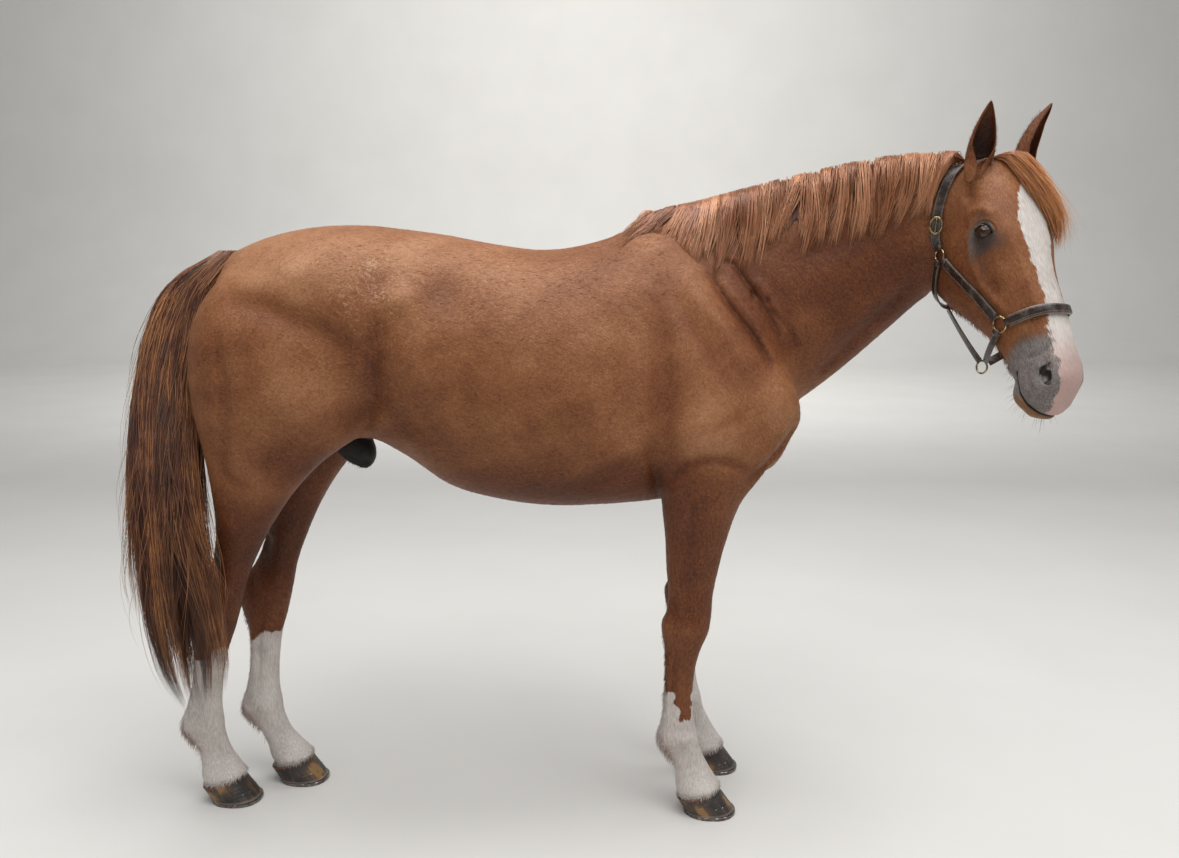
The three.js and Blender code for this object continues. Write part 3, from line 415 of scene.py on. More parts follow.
RIGHT_ONLY, LEFT_ONLY = (Side.RIGHT,), (Side.LEFT,)
RELIEF_ROWS = {
    View.BODY: (
        # folds where the neck bends towards its right, in front of the shoulder blade
        ((303, 1494, 348, 1420, 382, 1375, 428, 1318, 458, 1266, 475, 1233), 9, -8.5, 60, 0, RIGHT_ONLY),
        ((335, 1526, 374, 1510, 420, 1447, 461, 1385, 505, 1297), 9, -9, 60, 0, RIGHT_ONLY),
        ((477, 1391, 527, 1338, 552, 1284), 8, -6.5, 60, 0, RIGHT_ONLY),
        ((345, 1470, 395, 1410, 440, 1345, 482, 1270), 12.8, 6, 60, 0, RIGHT_ONLY),
        ((436, 1470, 484, 1400, 520, 1325), 10.4, 6, 60, 0, RIGHT_ONLY),
        ((425, 1431), 6.4, -7.2, 60, 15, RIGHT_ONLY), ((463, 1416), 6.4, -8.4, 60, 10, RIGHT_ONLY),
        ((330, 1480, 440, 1330), 40, -3.8, 60, 0, LEFT_ONLY),
        # shoulder, upper arm and chest
        ((500, 1165), 55, 13, 60, 75), ((296, 1088), 84, 19, 60, 74), ((214, 950), 30, 7, 60, 30),
        ((180, 1440, 182, 1286, 186, 1118, 192, 1029, 200, 930), 34, -17),
        ((150, 1070, 162, 1010, 178, 945, 188, 890), 16, -12),
        ((205, 950, 250, 1000, 300, 1018, 360, 1008, 424, 982), 15, -12),
        ((405, 1165, 372, 1118, 310, 1085), 17, -6.2), ((399, 950, 460, 995, 500, 1038, 532, 1101), 13, -11.2, 90),
        ((235, 1500, 330, 1370, 420, 1250), 30, 9), ((190, 1480, 265, 1340, 335, 1220), 28, -8),
        ((51, 1545), 62, -10, 60, 36), ((95, 1270), 40, -8, 60, 130), ((165, 1548), 52, 6.2, 40, 34),
        ((-130, 950, -40, 978, 20, 1008, 75, 1038, 135, 1050), 13, 7.5, 110),
        ((-20, 950, 70, 990, 130, 1000), 26, -8.8, 110),
        # barrel and flank
        ((-60, 1380, -120, 1200, -150, 1060), 26, -2), ((-150, 1400, -210, 1220, -240, 1080), 26, -2),
        ((-240, 1400, -300, 1230, -330, 1100), 26, -2.2), ((-362, 1438), 60, -13, 60, 62),
        ((-438, 1250), 46, 11, 60, 105), ((-531, 1385, -541, 1280, -552, 1190, -582, 1110), 24, -15, 90),
        ((-470, 1180, -520, 1130, -570, 1075, -630, 1030), 17, 8, 90), ((-478, 1432), 40, 13.8, 60, 36),
        ((-535, 1462), 34, -7.5, 60, 40),
        # croup and thigh
        ((-910, 1420, -800, 1400, -670, 1345, -560, 1290), 34, -14),
        ((-935, 1340, -918, 1220, -925, 1090, -950, 970), 17, -9.5), ((-715, 1160), 90, 17, 60, 88),
        ((-640, 1500, -780, 1490, -900, 1440), 45, 6.2), ((-650, 1078), 42, 7.5, 90, 46),
        ((-806, 1099, -748, 1071, -698, 1061), 5, 3.1), ((-760, 1120, -790, 1040, -850, 985), 18, -6.2),
        ((-880, 900), 50, 6.2, 60, 66), ((-955, 985, -915, 950, -870, 930), 17, -6.2),
        ((-668, 1000, -640, 976, -596, 968), 8, -7, 14), ((-640, 955, -605, 945), 12, 6, 14),
        # neck: the groove of the great vein, and the muscle above it
        ((850, 1478, 803, 1414, 745, 1352, 680, 1285, 610, 1215), 15, -7.5, 40),
        ((830, 1510, 760, 1430, 660, 1345, 590, 1290), 26, 5, 40),
        ((880, 1640, 760, 1600, 640, 1560, 500, 1520), 34, -5, 40),
    ),
    View.FORELEG: (
        # forelegs
        ((335, 900), 34, 5.8, 12, 95), ((268, 900, 262, 780, 258, 670), 10, -7.25, 16),
        ((236, 880), 26, 5.8, 14, 90), ((300, 562), 18, 4.3, 6, 30), ((262, 535), 14, 5.1, 16, 16),
        ((262, 600), 16, -3.6, 16, 12), ((203, 555), 13, 5.8, 2, 20), ((228, 640, 226, 585), 8, -5.8, 12),
        ((232, 490, 229, 420, 228, 340, 226, 280), 6, -7.25, 10), ((216, 470, 213, 300), 7, 2.9, 8),
        ((262, 225), 20, 4.3, 14, 20), ((207, 215), 14, 5.8, 4, 17), ((252, 178), 20, -3.6, 8, 14),
    ),
    View.HINDLEG: (
        # hind legs
        ((-1000, 735, -1028, 670), 16, -13.05, 8), ((-985, 628), 17, 5.8, 14, 18), ((-1030, 575), 20, 5.8, 14, 24),
        ((-1062, 620, -1070, 560), 8, -5.8, 12), ((-1040, 520, -1066, 440, -1080, 340, -1090, 270), 6, -7.25, 10),
        ((-1086, 500, -1098, 330), 7, 2.9, 8), ((-1085, 237), 20, 4.3, 14, 20), ((-1132, 222), 14, 5.8, 4, 17),
        ((-935, 860, -955, 790), 14, 4.35, 14),
    ),
    View.HEAD: (
        # head: brow, hollow above the eye, cheekbone and facial crest, cheek, nose and chin
        ((150, -108, 128, -82, 134, -48, 166, -20), 12, 5, 40), ((88, -74), 19, -8, 40, 17),
        ((205, -112, 262, -122, 305, -124, 350, -110, 396, -88), 9, 6, 30), ((300, -98, 350, -84), 13, -2.5, 30),
        ((330, -150, 372, -128, 405, -108), 12, -4, 30), ((245, -200), 70, 5, 40, 62),
        ((150, -150, 120, -128, 80, -110), 14, 3, 40), ((400, -42), 75, -4, 24, 15),
        ((200, -8, 320, -16, 430, -20), 7, 2.5, 20), ((236, -52, 290, -66, 345, -84, 392, -104), 4, 2, 30),
        ((262, -60, 300, -56, 340, -60), 3.5, 1.4, 30), ((590, -164), 26, 5, 1, 14), ((544, -152), 16, -4, 1, 14),
        ((536, -20, 560, -24, 590, -34, 606, -56), 9, 5, 20),
        ((540, -50, 548, -78, 572, -86, 600, -78), 8, 3.5, 20), ((512, -22, 520, -56, 516, -84), 7, -3.5, 20),
        ((600, -104, 566, -112, 535, -110), 12, 3, 20), ((20, -66), 30, 4, 30, 30),
    ),
}
RELIEFS = {view: [Relief(*row) for row in rows] for view, rows in RELIEF_ROWS.items()}
FOLDS = RELIEFS[View.BODY][:3]

# The right eye on the head's axes; the left is the same, turned over.
EYE = np.array([195.0, 91.0, -64.0])
EYE_RADIUS = 23.0
EYE_OUT = unit(np.array([-0.06, 0.96, 0.24]))  # where the eye looks
EYE_LONG = unit(np.cross(np.cross(EYE_OUT, [0.52, 0.0, 0.85]), EYE_OUT))  # towards the inner corner
EYE_TALL = np.cross(EYE_LONG, EYE_OUT)
NOSTRIL = np.array([570.0, 60.0, -50.0])
MOUTH = ((534, -130), (552, -137), (585, -139), (615, -131), (640, -115), (668, -96))


def lids(long: Array, tall: Array) -> Array:
    """How far outside the eye's opening places are: below 0 between the lids, a lens of two parabolas."""
    return (long / 23.5) ** 2 + np.abs(tall) / np.where(tall > 0, 17.0, 13.5) - 1


class Flesh:
    """The horse's flesh as a field: how far a place is outside the hide, in millimetres.

    Lofts are joined by rounded minimums, reliefs lift or sink the hide, and openings are cut with rounded
    maximums. The hide is where the field is 0.
    """

    coat = 2.0  # the coat's depth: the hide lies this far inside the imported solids

    def __init__(self) -> None:
        """Lays out the lofts."""
        self.trunk = Loft(TRUNK, (60, 70))
        self.neck = Loft(NECK, (40, 30))
        self.head = Loft(HEAD, (26, 26), np.array([1040.0, -190, 1783]), head_axes(55, 27, -5))
        self.sheath = Loft(SHEATH, (30, 25))
        self.tail = Loft(TAIL, (40, 20), axes=ALONG_Z)

    def joined(self, points: Array) -> Array:
        """The lofts joined with rounded hollows between them, each worked out only near itself."""
        parts = [(self.trunk, 30.0), (self.neck, 42.0), *((leg.loft, 34.0) for leg in LEGS)]
        parts += [(self.head, 22.0), (self.sheath, 12.0)]
        field_ = np.full(len(points), 400.0)
        for loft, width in parts:
            low, high = loft.box
            near = np.flatnonzero(((points > low - 50) & (points < high + 50)).all(axis=1))
            if len(near):
                field_[near] = soft_min(field_[near], loft.distance(points[near]), width)
        return field_

    def reliefs(self, points: Array) -> Array:
        """How far the reliefs lift the hide."""
        lift = np.zeros(len(points))
        for view, reliefs in RELIEFS.items():
            for flat, aside, near in self.side_views(points, view):
                here = np.flatnonzero(near)
                flat, aside = flat[here], aside[here]
                for relief in reliefs:
                    reach = 2.6 * max(relief.wide, relief.tall)
                    low, high = relief.line.min(0) - reach, relief.line.max(0) + reach
                    hit = np.flatnonzero(((flat > low) & (flat < high)).all(axis=1))
                    lift[here[hit]] += relief.lift(flat[hit], aside[hit])
        return lift

    def side_views(self, points: Array, view: View) -> list[tuple[Array, Array, Array]]:
        """Places in one side view, their distances from its middle, and which of them belong to it.

        Args:
            points: n by 3, on the horse's axes.
            view: which side view.

        Returns:
            One set for the body or the head, one for each leg of a pair.
        """
        x, y, z = points.T
        if view is View.BODY:
            return [(points[:, [0, 2]], y, (x < 960) & (z > 820))]
        if view is View.HEAD:
            near = (x > 930) & (z > 1080)
            local = np.zeros_like(points)
            local[near] = self.head.local(points[near])
            return [(local[:, [0, 2]], -local[:, 1], near & (np.abs(local[:, 1]) < 150))]
        views = []
        for leg in LEGS:
            if leg.fore == (view is View.FORELEG):
                near = (z < 1010) & leg.mine(points)
                flat, aside = np.zeros((len(points), 2)), np.zeros(len(points))
                flat[near] = np.stack([x[near] - leg.forward(z[near]), z[near]], axis=1)
                aside[near] = y[near] - leg.loft.look_up(z[near])[:, ASIDE]
                views.append((flat, aside, near))
        return views

    def openings(self, points: Array, field_: Array) -> Array:
        """The field with the eyes' and nostrils' openings, the mouth and the hollow under the jaw."""
        s, right, out = self.head.local(points).T
        near = (s > -60) & (s < 700) & (np.abs(right) < 160) & (out < 70) & (out > -340)
        if not near.any():
            return field_
        s, side, out = s[near], np.abs(right[near]), out[near]
        f = field_[near]
        jaw = np.exp(-((side / 20) ** 2)) * ease(180, 260, s) * (1 - ease(460, 520, s)) * ease(-150, -190, out)
        chin = np.exp(-((side / 7) ** 2)) * ease(610, 630, s) * ease(-110, -90, out)
        f = f + 9 * jaw + 1.5 * chin
        away, _ = along_line(np.stack([s, out], axis=1), MOUTH)
        f = f + 6.5 * np.exp(-((away / 4.2) ** 2)) + 2.4 * np.exp(-((away / 10) ** 2))
        p = np.stack([s, side, out], axis=1) - EYE
        far = np.linalg.norm(p, axis=1)
        long, tall, ahead = p @ EYE_LONG, p @ EYE_TALL, p @ EYE_OUT
        f = soft_min(f, far - (EYE_RADIUS + 2.6), 9)
        crease = np.hypot(long / 30, tall / np.where(tall > 0, 25, 21)) - 1
        f = f + np.where(ahead > 0, 2.2 * np.exp(-((crease / 0.10) ** 2)) * np.where(tall > 0, 1.0, 0.5), 0)
        cut = np.maximum(np.maximum(lids(long, tall) * 11, EYE_RADIUS - 1.4 - far), -ahead)
        f = soft_max(f, -cut, 1.6)
        along, across = s - NOSTRIL[0], out - NOSTRIL[2]
        turned = along * 0.94 - across * 0.34, along * 0.34 + across * 0.94
        bent = turned[1] - 0.012 * turned[0] ** 2 + 2
        comma = np.hypot(turned[0] / 26, bent / np.where(turned[0] > 0, 15, 11)) - 1
        f = soft_max(f, -np.maximum(comma * 12, 30 - side), 4)
        result = field_.copy()
        result[near] = f
        return result

    def feet(self, points: Array, field_: Array) -> Array:
        """The field cut off just below the coronets, inside the hooves."""
        low = points[:, 2] < 200
        result = field_.copy()
        for leg in LEGS if low.any() else ():
            x, y = leg.heel
            near = low & (np.abs(points[:, 0] - x - 60) < 260) & (points[:, 1] * y > 0)
            result[near] = soft_max(result[near], -leg.above_coronet(points[near]) - 3.0, 5)
        return result

    def coarse(self, points: Array) -> Array:
        """The field without fine shapes, for finding the hide."""
        return self.feet(points, self.joined(points)) + self.coat

    def __call__(self, points: Array) -> Array:
        """The whole field."""
        whole = self.joined(points) + self.coat - self.reliefs(points)
        return self.feet(points, self.openings(points, whole))

    def slope(self, points: Array, step: float = 0.8) -> tuple[Array, Array]:
        """The field and its slope, from four places round each point (the corners of a tetrahedron)."""
        corners = np.array([[1, 1, 1], [1, -1, -1], [-1, 1, -1], [-1, -1, 1]]) * step
        values = self((points[:, None, :] + corners).reshape(-1, 3)).reshape(-1, 4)
        return values.mean(axis=1), (values @ corners) / (4 * step * step)

    def laid(self, points: Array, rise: float) -> Array:
        """Points moved to lie a given way outside the plain lofts of the head and neck, for straps."""
        for _ in range(12):
            probes = (points[:, None, :] + np.vstack([np.zeros(3), np.eye(3), -np.eye(3)])).reshape(-1, 3)
            away = np.minimum(self.head.distance(probes), self.neck.distance(probes)).reshape(-1, 7)
            slope = (away[:, 1:4] - away[:, 4:]) / 2
            points = points + slope * ((rise - away[:, 0]) / np.maximum((slope**2).sum(axis=1), 0.2))[:, None]
        return points

    def settle(self, points: Array, rise: Array | float = 0.0, turns: int = 3) -> Array:
        """Points moved straight out or in, by steps of Newton's rule, to lie a given way outside the hide."""
        for _ in range(turns):
            value, slope = self.slope(points)
            steep = np.maximum((slope**2).sum(axis=1), 0.16)
            move = slope * ((rise - value) / steep)[:, None]
            length = np.linalg.norm(move, axis=1, keepdims=True)
            points = points + move * np.minimum(1, 12 / np.maximum(length, 1e-9))
        return points


# ------------------------------------------------------------------ meshes
@dataclass
class Shape:
    """A mesh in the making: points in millimetres on the horse's axes, faces, and what is known at each point.

    Attributes:
        points: n by 3.
        faces: m by 3 or m by 4 point numbers, facing outwards.
        marks: named values, one number for each point.
        uv: for each corner of each face, its place on the OFBake map, or None.
    """

    points: Array
    faces: Array
    marks: dict[str, Array] = field(default_factory=dict)
    uv: Array | None = None

    def __add__(self, other: "Shape") -> "Shape":
        """Both shapes as one."""
        faces = np.vstack([self.faces, other.faces + len(self.points)])
        marks = {name: np.concatenate([values, other.marks[name]]) for name, values in self.marks.items()}
        return Shape(np.vstack([self.points, other.points]), faces, marks)

    def normals(self) -> Array:
        """Outward directions at the points, from the faces round them."""
        p, f = self.points, self.faces
        second = p[f[:, -1]] - p[f[:, 1]] if f.shape[1] == 4 else p[f[:, 1]] - p[f[:, 0]]
        cross = np.cross(p[f[:, 2]] - p[f[:, 0]], second)
        if f.shape[1] == 3:
            cross = -cross
        out = np.zeros_like(p)
        for corner in f.T:
            for k in range(3):
                out[:, k] += np.bincount(corner, cross[:, k], len(p))
        return unit(out)


def sheet(grid: Array, closed_u: bool = False, closed_v: bool = False) -> Shape:
    """A surface over a grid of points, rows along u and columns along v; it faces along (d/du) x (d/dv).

    Args:
        grid: rows by columns by 3.
        closed_u: joins the last row to the first.
        closed_v: joins the last column to the first.
    """
    rows, columns = grid.shape[:2]
    i = np.arange(rows if closed_u else rows - 1)[:, None]
    j = np.arange(columns if closed_v else columns - 1)[None, :]
    a, b = i * columns + j, (i + 1) % rows * columns + j
    c, d = (i + 1) % rows * columns + (j + 1) % columns, i * columns + (j + 1) % columns
    return Shape(grid.reshape(-1, 3), np.stack([a, b, c, d], axis=-1).reshape(-1, 4))


def tube(rings: Array) -> Shape:
    """A closed solid through rings of points, each end closed by a small cap to the ring's middle.

    Args:
        rings: rings by points by 3; the points run round clockwise, seen along the rings' direction.
    """
    count, size = rings.shape[:2]
    side = sheet(rings, closed_v=True)
    k = np.arange(size)
    ends = count * size
    caps = np.stack([np.full(size, ends), k, (k + 1) % size, (k + 1) % size], axis=1)
    last = (count - 1) * size
    tops = np.stack([np.full(size, ends + 1), last + (k + 1) % size, last + k, last + k], axis=1)
    points = np.vstack([side.points, rings[0].mean(0), rings[-1].mean(0)])
    return Shape(points, np.vstack([side.faces, caps, tops]))


def outwards(shape: Shape) -> Shape:
    """The shape, made of quads, with its faces turned over if they face inwards, by the sign of its volume."""
    p, f = shape.points, shape.faces
    a, b, c, d = (p[f[:, k]] for k in range(4))
    volume = np.einsum("ij,ij->", a, np.cross(b, c)) + np.einsum("ij,ij->", a, np.cross(c, d))
    if volume < 0:
        pointed = (f[:, 2] == f[:, 3])[:, None]
        shape.faces = np.where(pointed, f[:, [1, 0, 2, 3]], f[:, ::-1])
    return shape


def many(unit_shape: Shape, frames: Array, places: Array) -> Shape:
    """Copies of one small shape, each with its own three directions and place, as one mesh.

    Args:
        unit_shape: the shape repeated.
        frames: count by 3 by 3, the directions (rows) that its x, y and z take.
        places: count by 3.
    """
    count, size = len(places), len(unit_shape.points)
    points = (np.einsum("pk,nkc->npc", unit_shape.points, frames) + places[:, None]).reshape(-1, 3)
    faces = unit_shape.faces[None] + (np.arange(count) * size)[:, None, None]
    return Shape(points, faces.reshape(-1, unit_shape.faces.shape[1]))


def put(name: str, shape: Shape, material: Material, slot: str, *replaces: str, flat: bool = False,
        bake_map: bool = False) -> bpy.types.Object:
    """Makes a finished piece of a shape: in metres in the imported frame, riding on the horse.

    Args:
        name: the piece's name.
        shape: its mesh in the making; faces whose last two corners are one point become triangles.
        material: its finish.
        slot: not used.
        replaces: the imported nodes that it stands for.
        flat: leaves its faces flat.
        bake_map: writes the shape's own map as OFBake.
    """
    mesh = bpy.data.meshes.new(name)
    points, faces = (shape.points + ORIGIN) / 1000, shape.faces
    corners = np.full(len(faces), faces.shape[1])
    keep = np.ones(faces.shape, bool)
    if faces.shape[1] == 4:
        pointed = faces[:, 3] == faces[:, 2]
        corners[pointed] = 3
        keep[pointed, 3] = False
    loops = faces[keep]
    mesh.vertices.add(len(points))
    mesh.vertices.foreach_set("co", points.astype(np.float32).ravel())
    mesh.loops.add(len(loops))
    mesh.loops.foreach_set("vertex_index", loops.astype(np.int32))
    mesh.polygons.add(len(faces))
    mesh.polygons.foreach_set("loop_start", np.concatenate([[0], np.cumsum(corners)[:-1]]).astype(np.int32))
    mesh.update(calc_edges=True)
    mesh.polygons.foreach_set("use_smooth", np.full(len(faces), not flat))
    for mark, values in shape.marks.items():
        layer = mesh.attributes.new(mark, "FLOAT", "POINT")
        layer.data.foreach_set("value", values.astype(np.float32))
    if bake_map:
        layer = mesh.uv_layers.new(name="OFBake")
        layer.data.foreach_set("uv", shape.uv[keep].astype(np.float32).ravel())
    mesh.validate()
    mesh.materials.append(material)
    piece = bpy.data.objects.new(name, mesh)
    bpy.context.scene.collection.objects.link(piece)
    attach(piece, "root")
    if replaces:
        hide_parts(*replaces)
    triangles = int((corners - 2).sum())
    log.info("%s: %d points, %d triangles, stands for %s", name, len(points), triangles, replaces or "nothing")
    return piece


def split_long(points: Array, faces: Array, longest: Array) -> tuple[Array, Array]:
    """Halves every edge that is longer than wanted at its two ends, so that no gap opens between triangles.

    Args:
        points: n by 3.
        faces: m by 3.
        longest: for each point, the longest edge wanted there.
    """
    count = len(points)
    ends = np.sort(faces[:, [0, 1, 1, 2, 2, 0]].reshape(-1, 2), axis=1)
    keys, which = np.unique(ends[:, 0] * count + ends[:, 1], return_inverse=True)
    a, b = keys // count, keys % count
    split = np.linalg.norm(points[a] - points[b], axis=1) > 0.5 * (longest[a] + longest[b])
    number = np.full(len(keys), -1)
    number[split] = count + np.arange(split.sum())
    middle = number[which].reshape(-1, 3)
    cuts = (middle >= 0).sum(axis=1)
    done = [faces[cuts == 0]]
    one = cuts == 1
    turn = np.argmax(middle[one] >= 0, axis=1)[:, None]
    f = np.take_along_axis(faces[one], (turn + [0, 1, 2]) % 3, axis=1)
    m = np.take_along_axis(middle[one], turn, axis=1)[:, 0]
    done += [np.stack([f[:, 0], m, f[:, 2]], 1), np.stack([m, f[:, 1], f[:, 2]], 1)]
    two = cuts == 2
    turn = (np.argmin(middle[two] >= 0, axis=1)[:, None] + 1) % 3
    order = (turn + [0, 1, 2]) % 3
    f, m = np.take_along_axis(faces[two], order, axis=1), np.take_along_axis(middle[two], order, axis=1)
    done += [np.stack([m[:, 0], f[:, 1], m[:, 1]], 1), np.stack([f[:, 0], m[:, 0], m[:, 1]], 1)]
    done += [np.stack([f[:, 0], m[:, 1], f[:, 2]], 1)]
    f, m = faces[cuts == 3], middle[cuts == 3]
    done += [np.stack([f[:, k], m[:, k], m[:, k - 1]], 1) for k in range(3)] + [m]
    return np.vstack([points, (points[a[split]] + points[b[split]]) / 2]), np.vstack(done)


def evened(points: Array, faces: Array, share: float = 0.5, flat: bool = True) -> Array:
    """Points moved a share of the way to the middle of their neighbours, along the surface only if flat."""
    a = faces[:, [0, 1, 2]].ravel()
    b = faces[:, [1, 2, 0]].ravel()
    count = np.bincount(a, minlength=len(points))
    middle = np.stack([np.bincount(a, points[b, k], len(points)) for k in range(3)], axis=1) / count[:, None]
    normal = Shape(points, faces).normals()
    move = middle - points
    return points + share * (move - flat * (move * normal).sum(1, keepdims=True) * normal)


class Hide:
    """The horse's hide as one closed mesh without its ears: trunk, neck, head and legs.

    It is found in the flesh field on an even grid, then divided where the shape is finer, and settled on the
    field again after each division.
    """

    pitch = 14.0  # the grid's, in millimetres

    def __init__(self, flesh: Flesh) -> None:
        """Finds the hide."""
        self.flesh = flesh
        points, faces = self.found()
        for _ in range(3):
            points = flesh.settle(evened(points, faces), turns=2)
        for _ in range(4):
            before = len(points)
            points, faces = split_long(points, faces, self.longest(points))
            points = flesh.settle(evened(points, faces), turns=2)
            log.info("hide: %d points, %d triangles", len(points), len(faces))
            if len(points) < before * 1.01:
                break
        points = flesh.settle(evened(points, faces, 0.35), turns=2)
        self.body = Shape(points, faces)

    def found(self) -> tuple[Array, Array]:
        """Points and triangles of the hide on an even grid."""
        low = np.array([-1196.0, -720, -20])
        high = np.array([1500.0, 330, 1830])
        counts = np.ceil((high - low) / self.pitch).astype(int)
        places = np.stack(np.meshgrid(*(np.arange(n) for n in counts), indexing="ij"), axis=-1) * self.pitch + low
        values = self.flesh.coarse(places.reshape(-1, 3)).reshape(counts)
        grid = openvdb.FloatGrid(400.0)
        grid.copyFromArray(np.clip(values, -400, 400).astype(np.float32))
        points, quads = grid.convertToQuads(isovalue=0.0)
        points = points.astype(float) * self.pitch + low
        quads = quads.astype(int)
        faces = np.vstack([quads[:, [0, 1, 2]], quads[:, [0, 2, 3]]])
        a, b, c = points[faces[:, 0]], points[faces[:, 1]], points[faces[:, 2]]
        if np.einsum("ij,ij->", a, np.cross(b, c)) < 0:
            faces = faces[:, ::-1]
        return points, faces

    def longest(self, points: Array) -> Array:
        """The longest edge wanted at each point."""
        x, y, z = points.T
        want = np.full(len(points), 30.0)

        def at_most(size: float, where: Array) -> None:
            want[where] = np.minimum(want[where], size)

        at_most(7.5, (x > 295) & (x < 565) & (z > 1220) & (z < 1540) & (y < -70))
        at_most(17, (x > 100) & (x < 620) & (z > 820))
        at_most(11.5, z < 680)
        at_most(8, z < 130)
        s, right, out = self.flesh.head.local(points).T
        head = (s > -40) & (np.abs(right) < 150) & (out < 60) & (out > -340) & (x > 900)
        at_most(7.4, head)
        at_most(5.4, head & (s > 500))
        local = np.stack([s, np.abs(right), out], axis=1)
        at_most(4.2, head & (np.linalg.norm(local - EYE, axis=1) < 60))
        at_most(2.7, head & (np.linalg.norm(local - EYE, axis=1) < 38))
        at_most(3.2, head & (np.linalg.norm(local - NOSTRIL, axis=1) < 36))
        at_most(3.4, head & (along_line(np.stack([s, out], axis=1), MOUTH)[0] < 9))
        return want


# ------------------------------------------------------------------ markings
TONES_AND_SHADING = (  # x, z, half length, half height, lighter (above 0) or darker: the large changes of colour in the coat, partly its own colour and partly painted light and shade, lighter along the top of the back and croup, darker on the belly, neck and gaskins
    (-800, 1540, 260, 120, 0.42), (-350, 1530, 260, 90, 0.3), (-100, 1250, 330, 190, 0.1), (-470, 1210, 90, 130, -0.32),
    (-620, 1080, 120, 90, -0.3), (-860, 1150, 130, 160, 0.22), (-880, 930, 90, 120, 0.3), (520, 1170, 90, 110, 0.15),
    (420, 1400, 110, 140, -0.4), (700, 1500, 260, 170, -0.62), (250, 1060, 110, 70, 0.12), (160, 960, 60, 90, -0.15),
    (300, 900, 90, 90, -0.1), (-50, 930, 330, 80, -0.72), (120, 1420, 130, 100, 0.0), (640, 1260, 110, 110, -0.4),
    (-980, 1300, 60, 200, -0.2), (-740, 1010, 110, 80, -0.45), (830, 1420, 120, 90, -0.3), (-900, 800, 170, 170, -0.75),
    (-880, 1180, 90, 130, -0.15), (260, 820, 110, 170, -0.35), (-150, 1130, 300, 120, -0.04),
)
# the blaze's edges: places down the face, and how far to the horse's right of its middle
BLAZE_RIGHT = (84, 99, 140, 196, 250, 311, 405, 466, 542, 582, 638, 662), (2, 20, 44, 62, 50, 40, 37, 42, 46, 47, 36, 28)
BLAZE_LEFT = (84, 99, 140, 174, 250, 311, 405, 500, 566, 640, 662), (2, -16, -34, -46, -40, -32, -30, -36, -43, -34, -26)


def waves(points: Array, size: float, seed: int) -> Array:
    """A smooth random field from -1 to 1: the mean of nine sine waves in random directions.

    Args:
        points: n by 3, in millimetres.
        size: the waves' mean length.
        seed: picks the directions.
    """
    rng = np.random.default_rng(seed)
    ways = unit(rng.normal(size=(9, 3))) * (2 * np.pi / size) * rng.uniform(0.6, 1.7, (9, 1))
    return np.sin(points @ ways.T + rng.uniform(0, 2 * np.pi, 9)).sum(axis=1) / 3


def on_head(x: Array, z: Array) -> Array:
    """How surely places are on the head, from 0 to 1."""
    return ease(905, 960, x) * ease(1080, 1100, z)


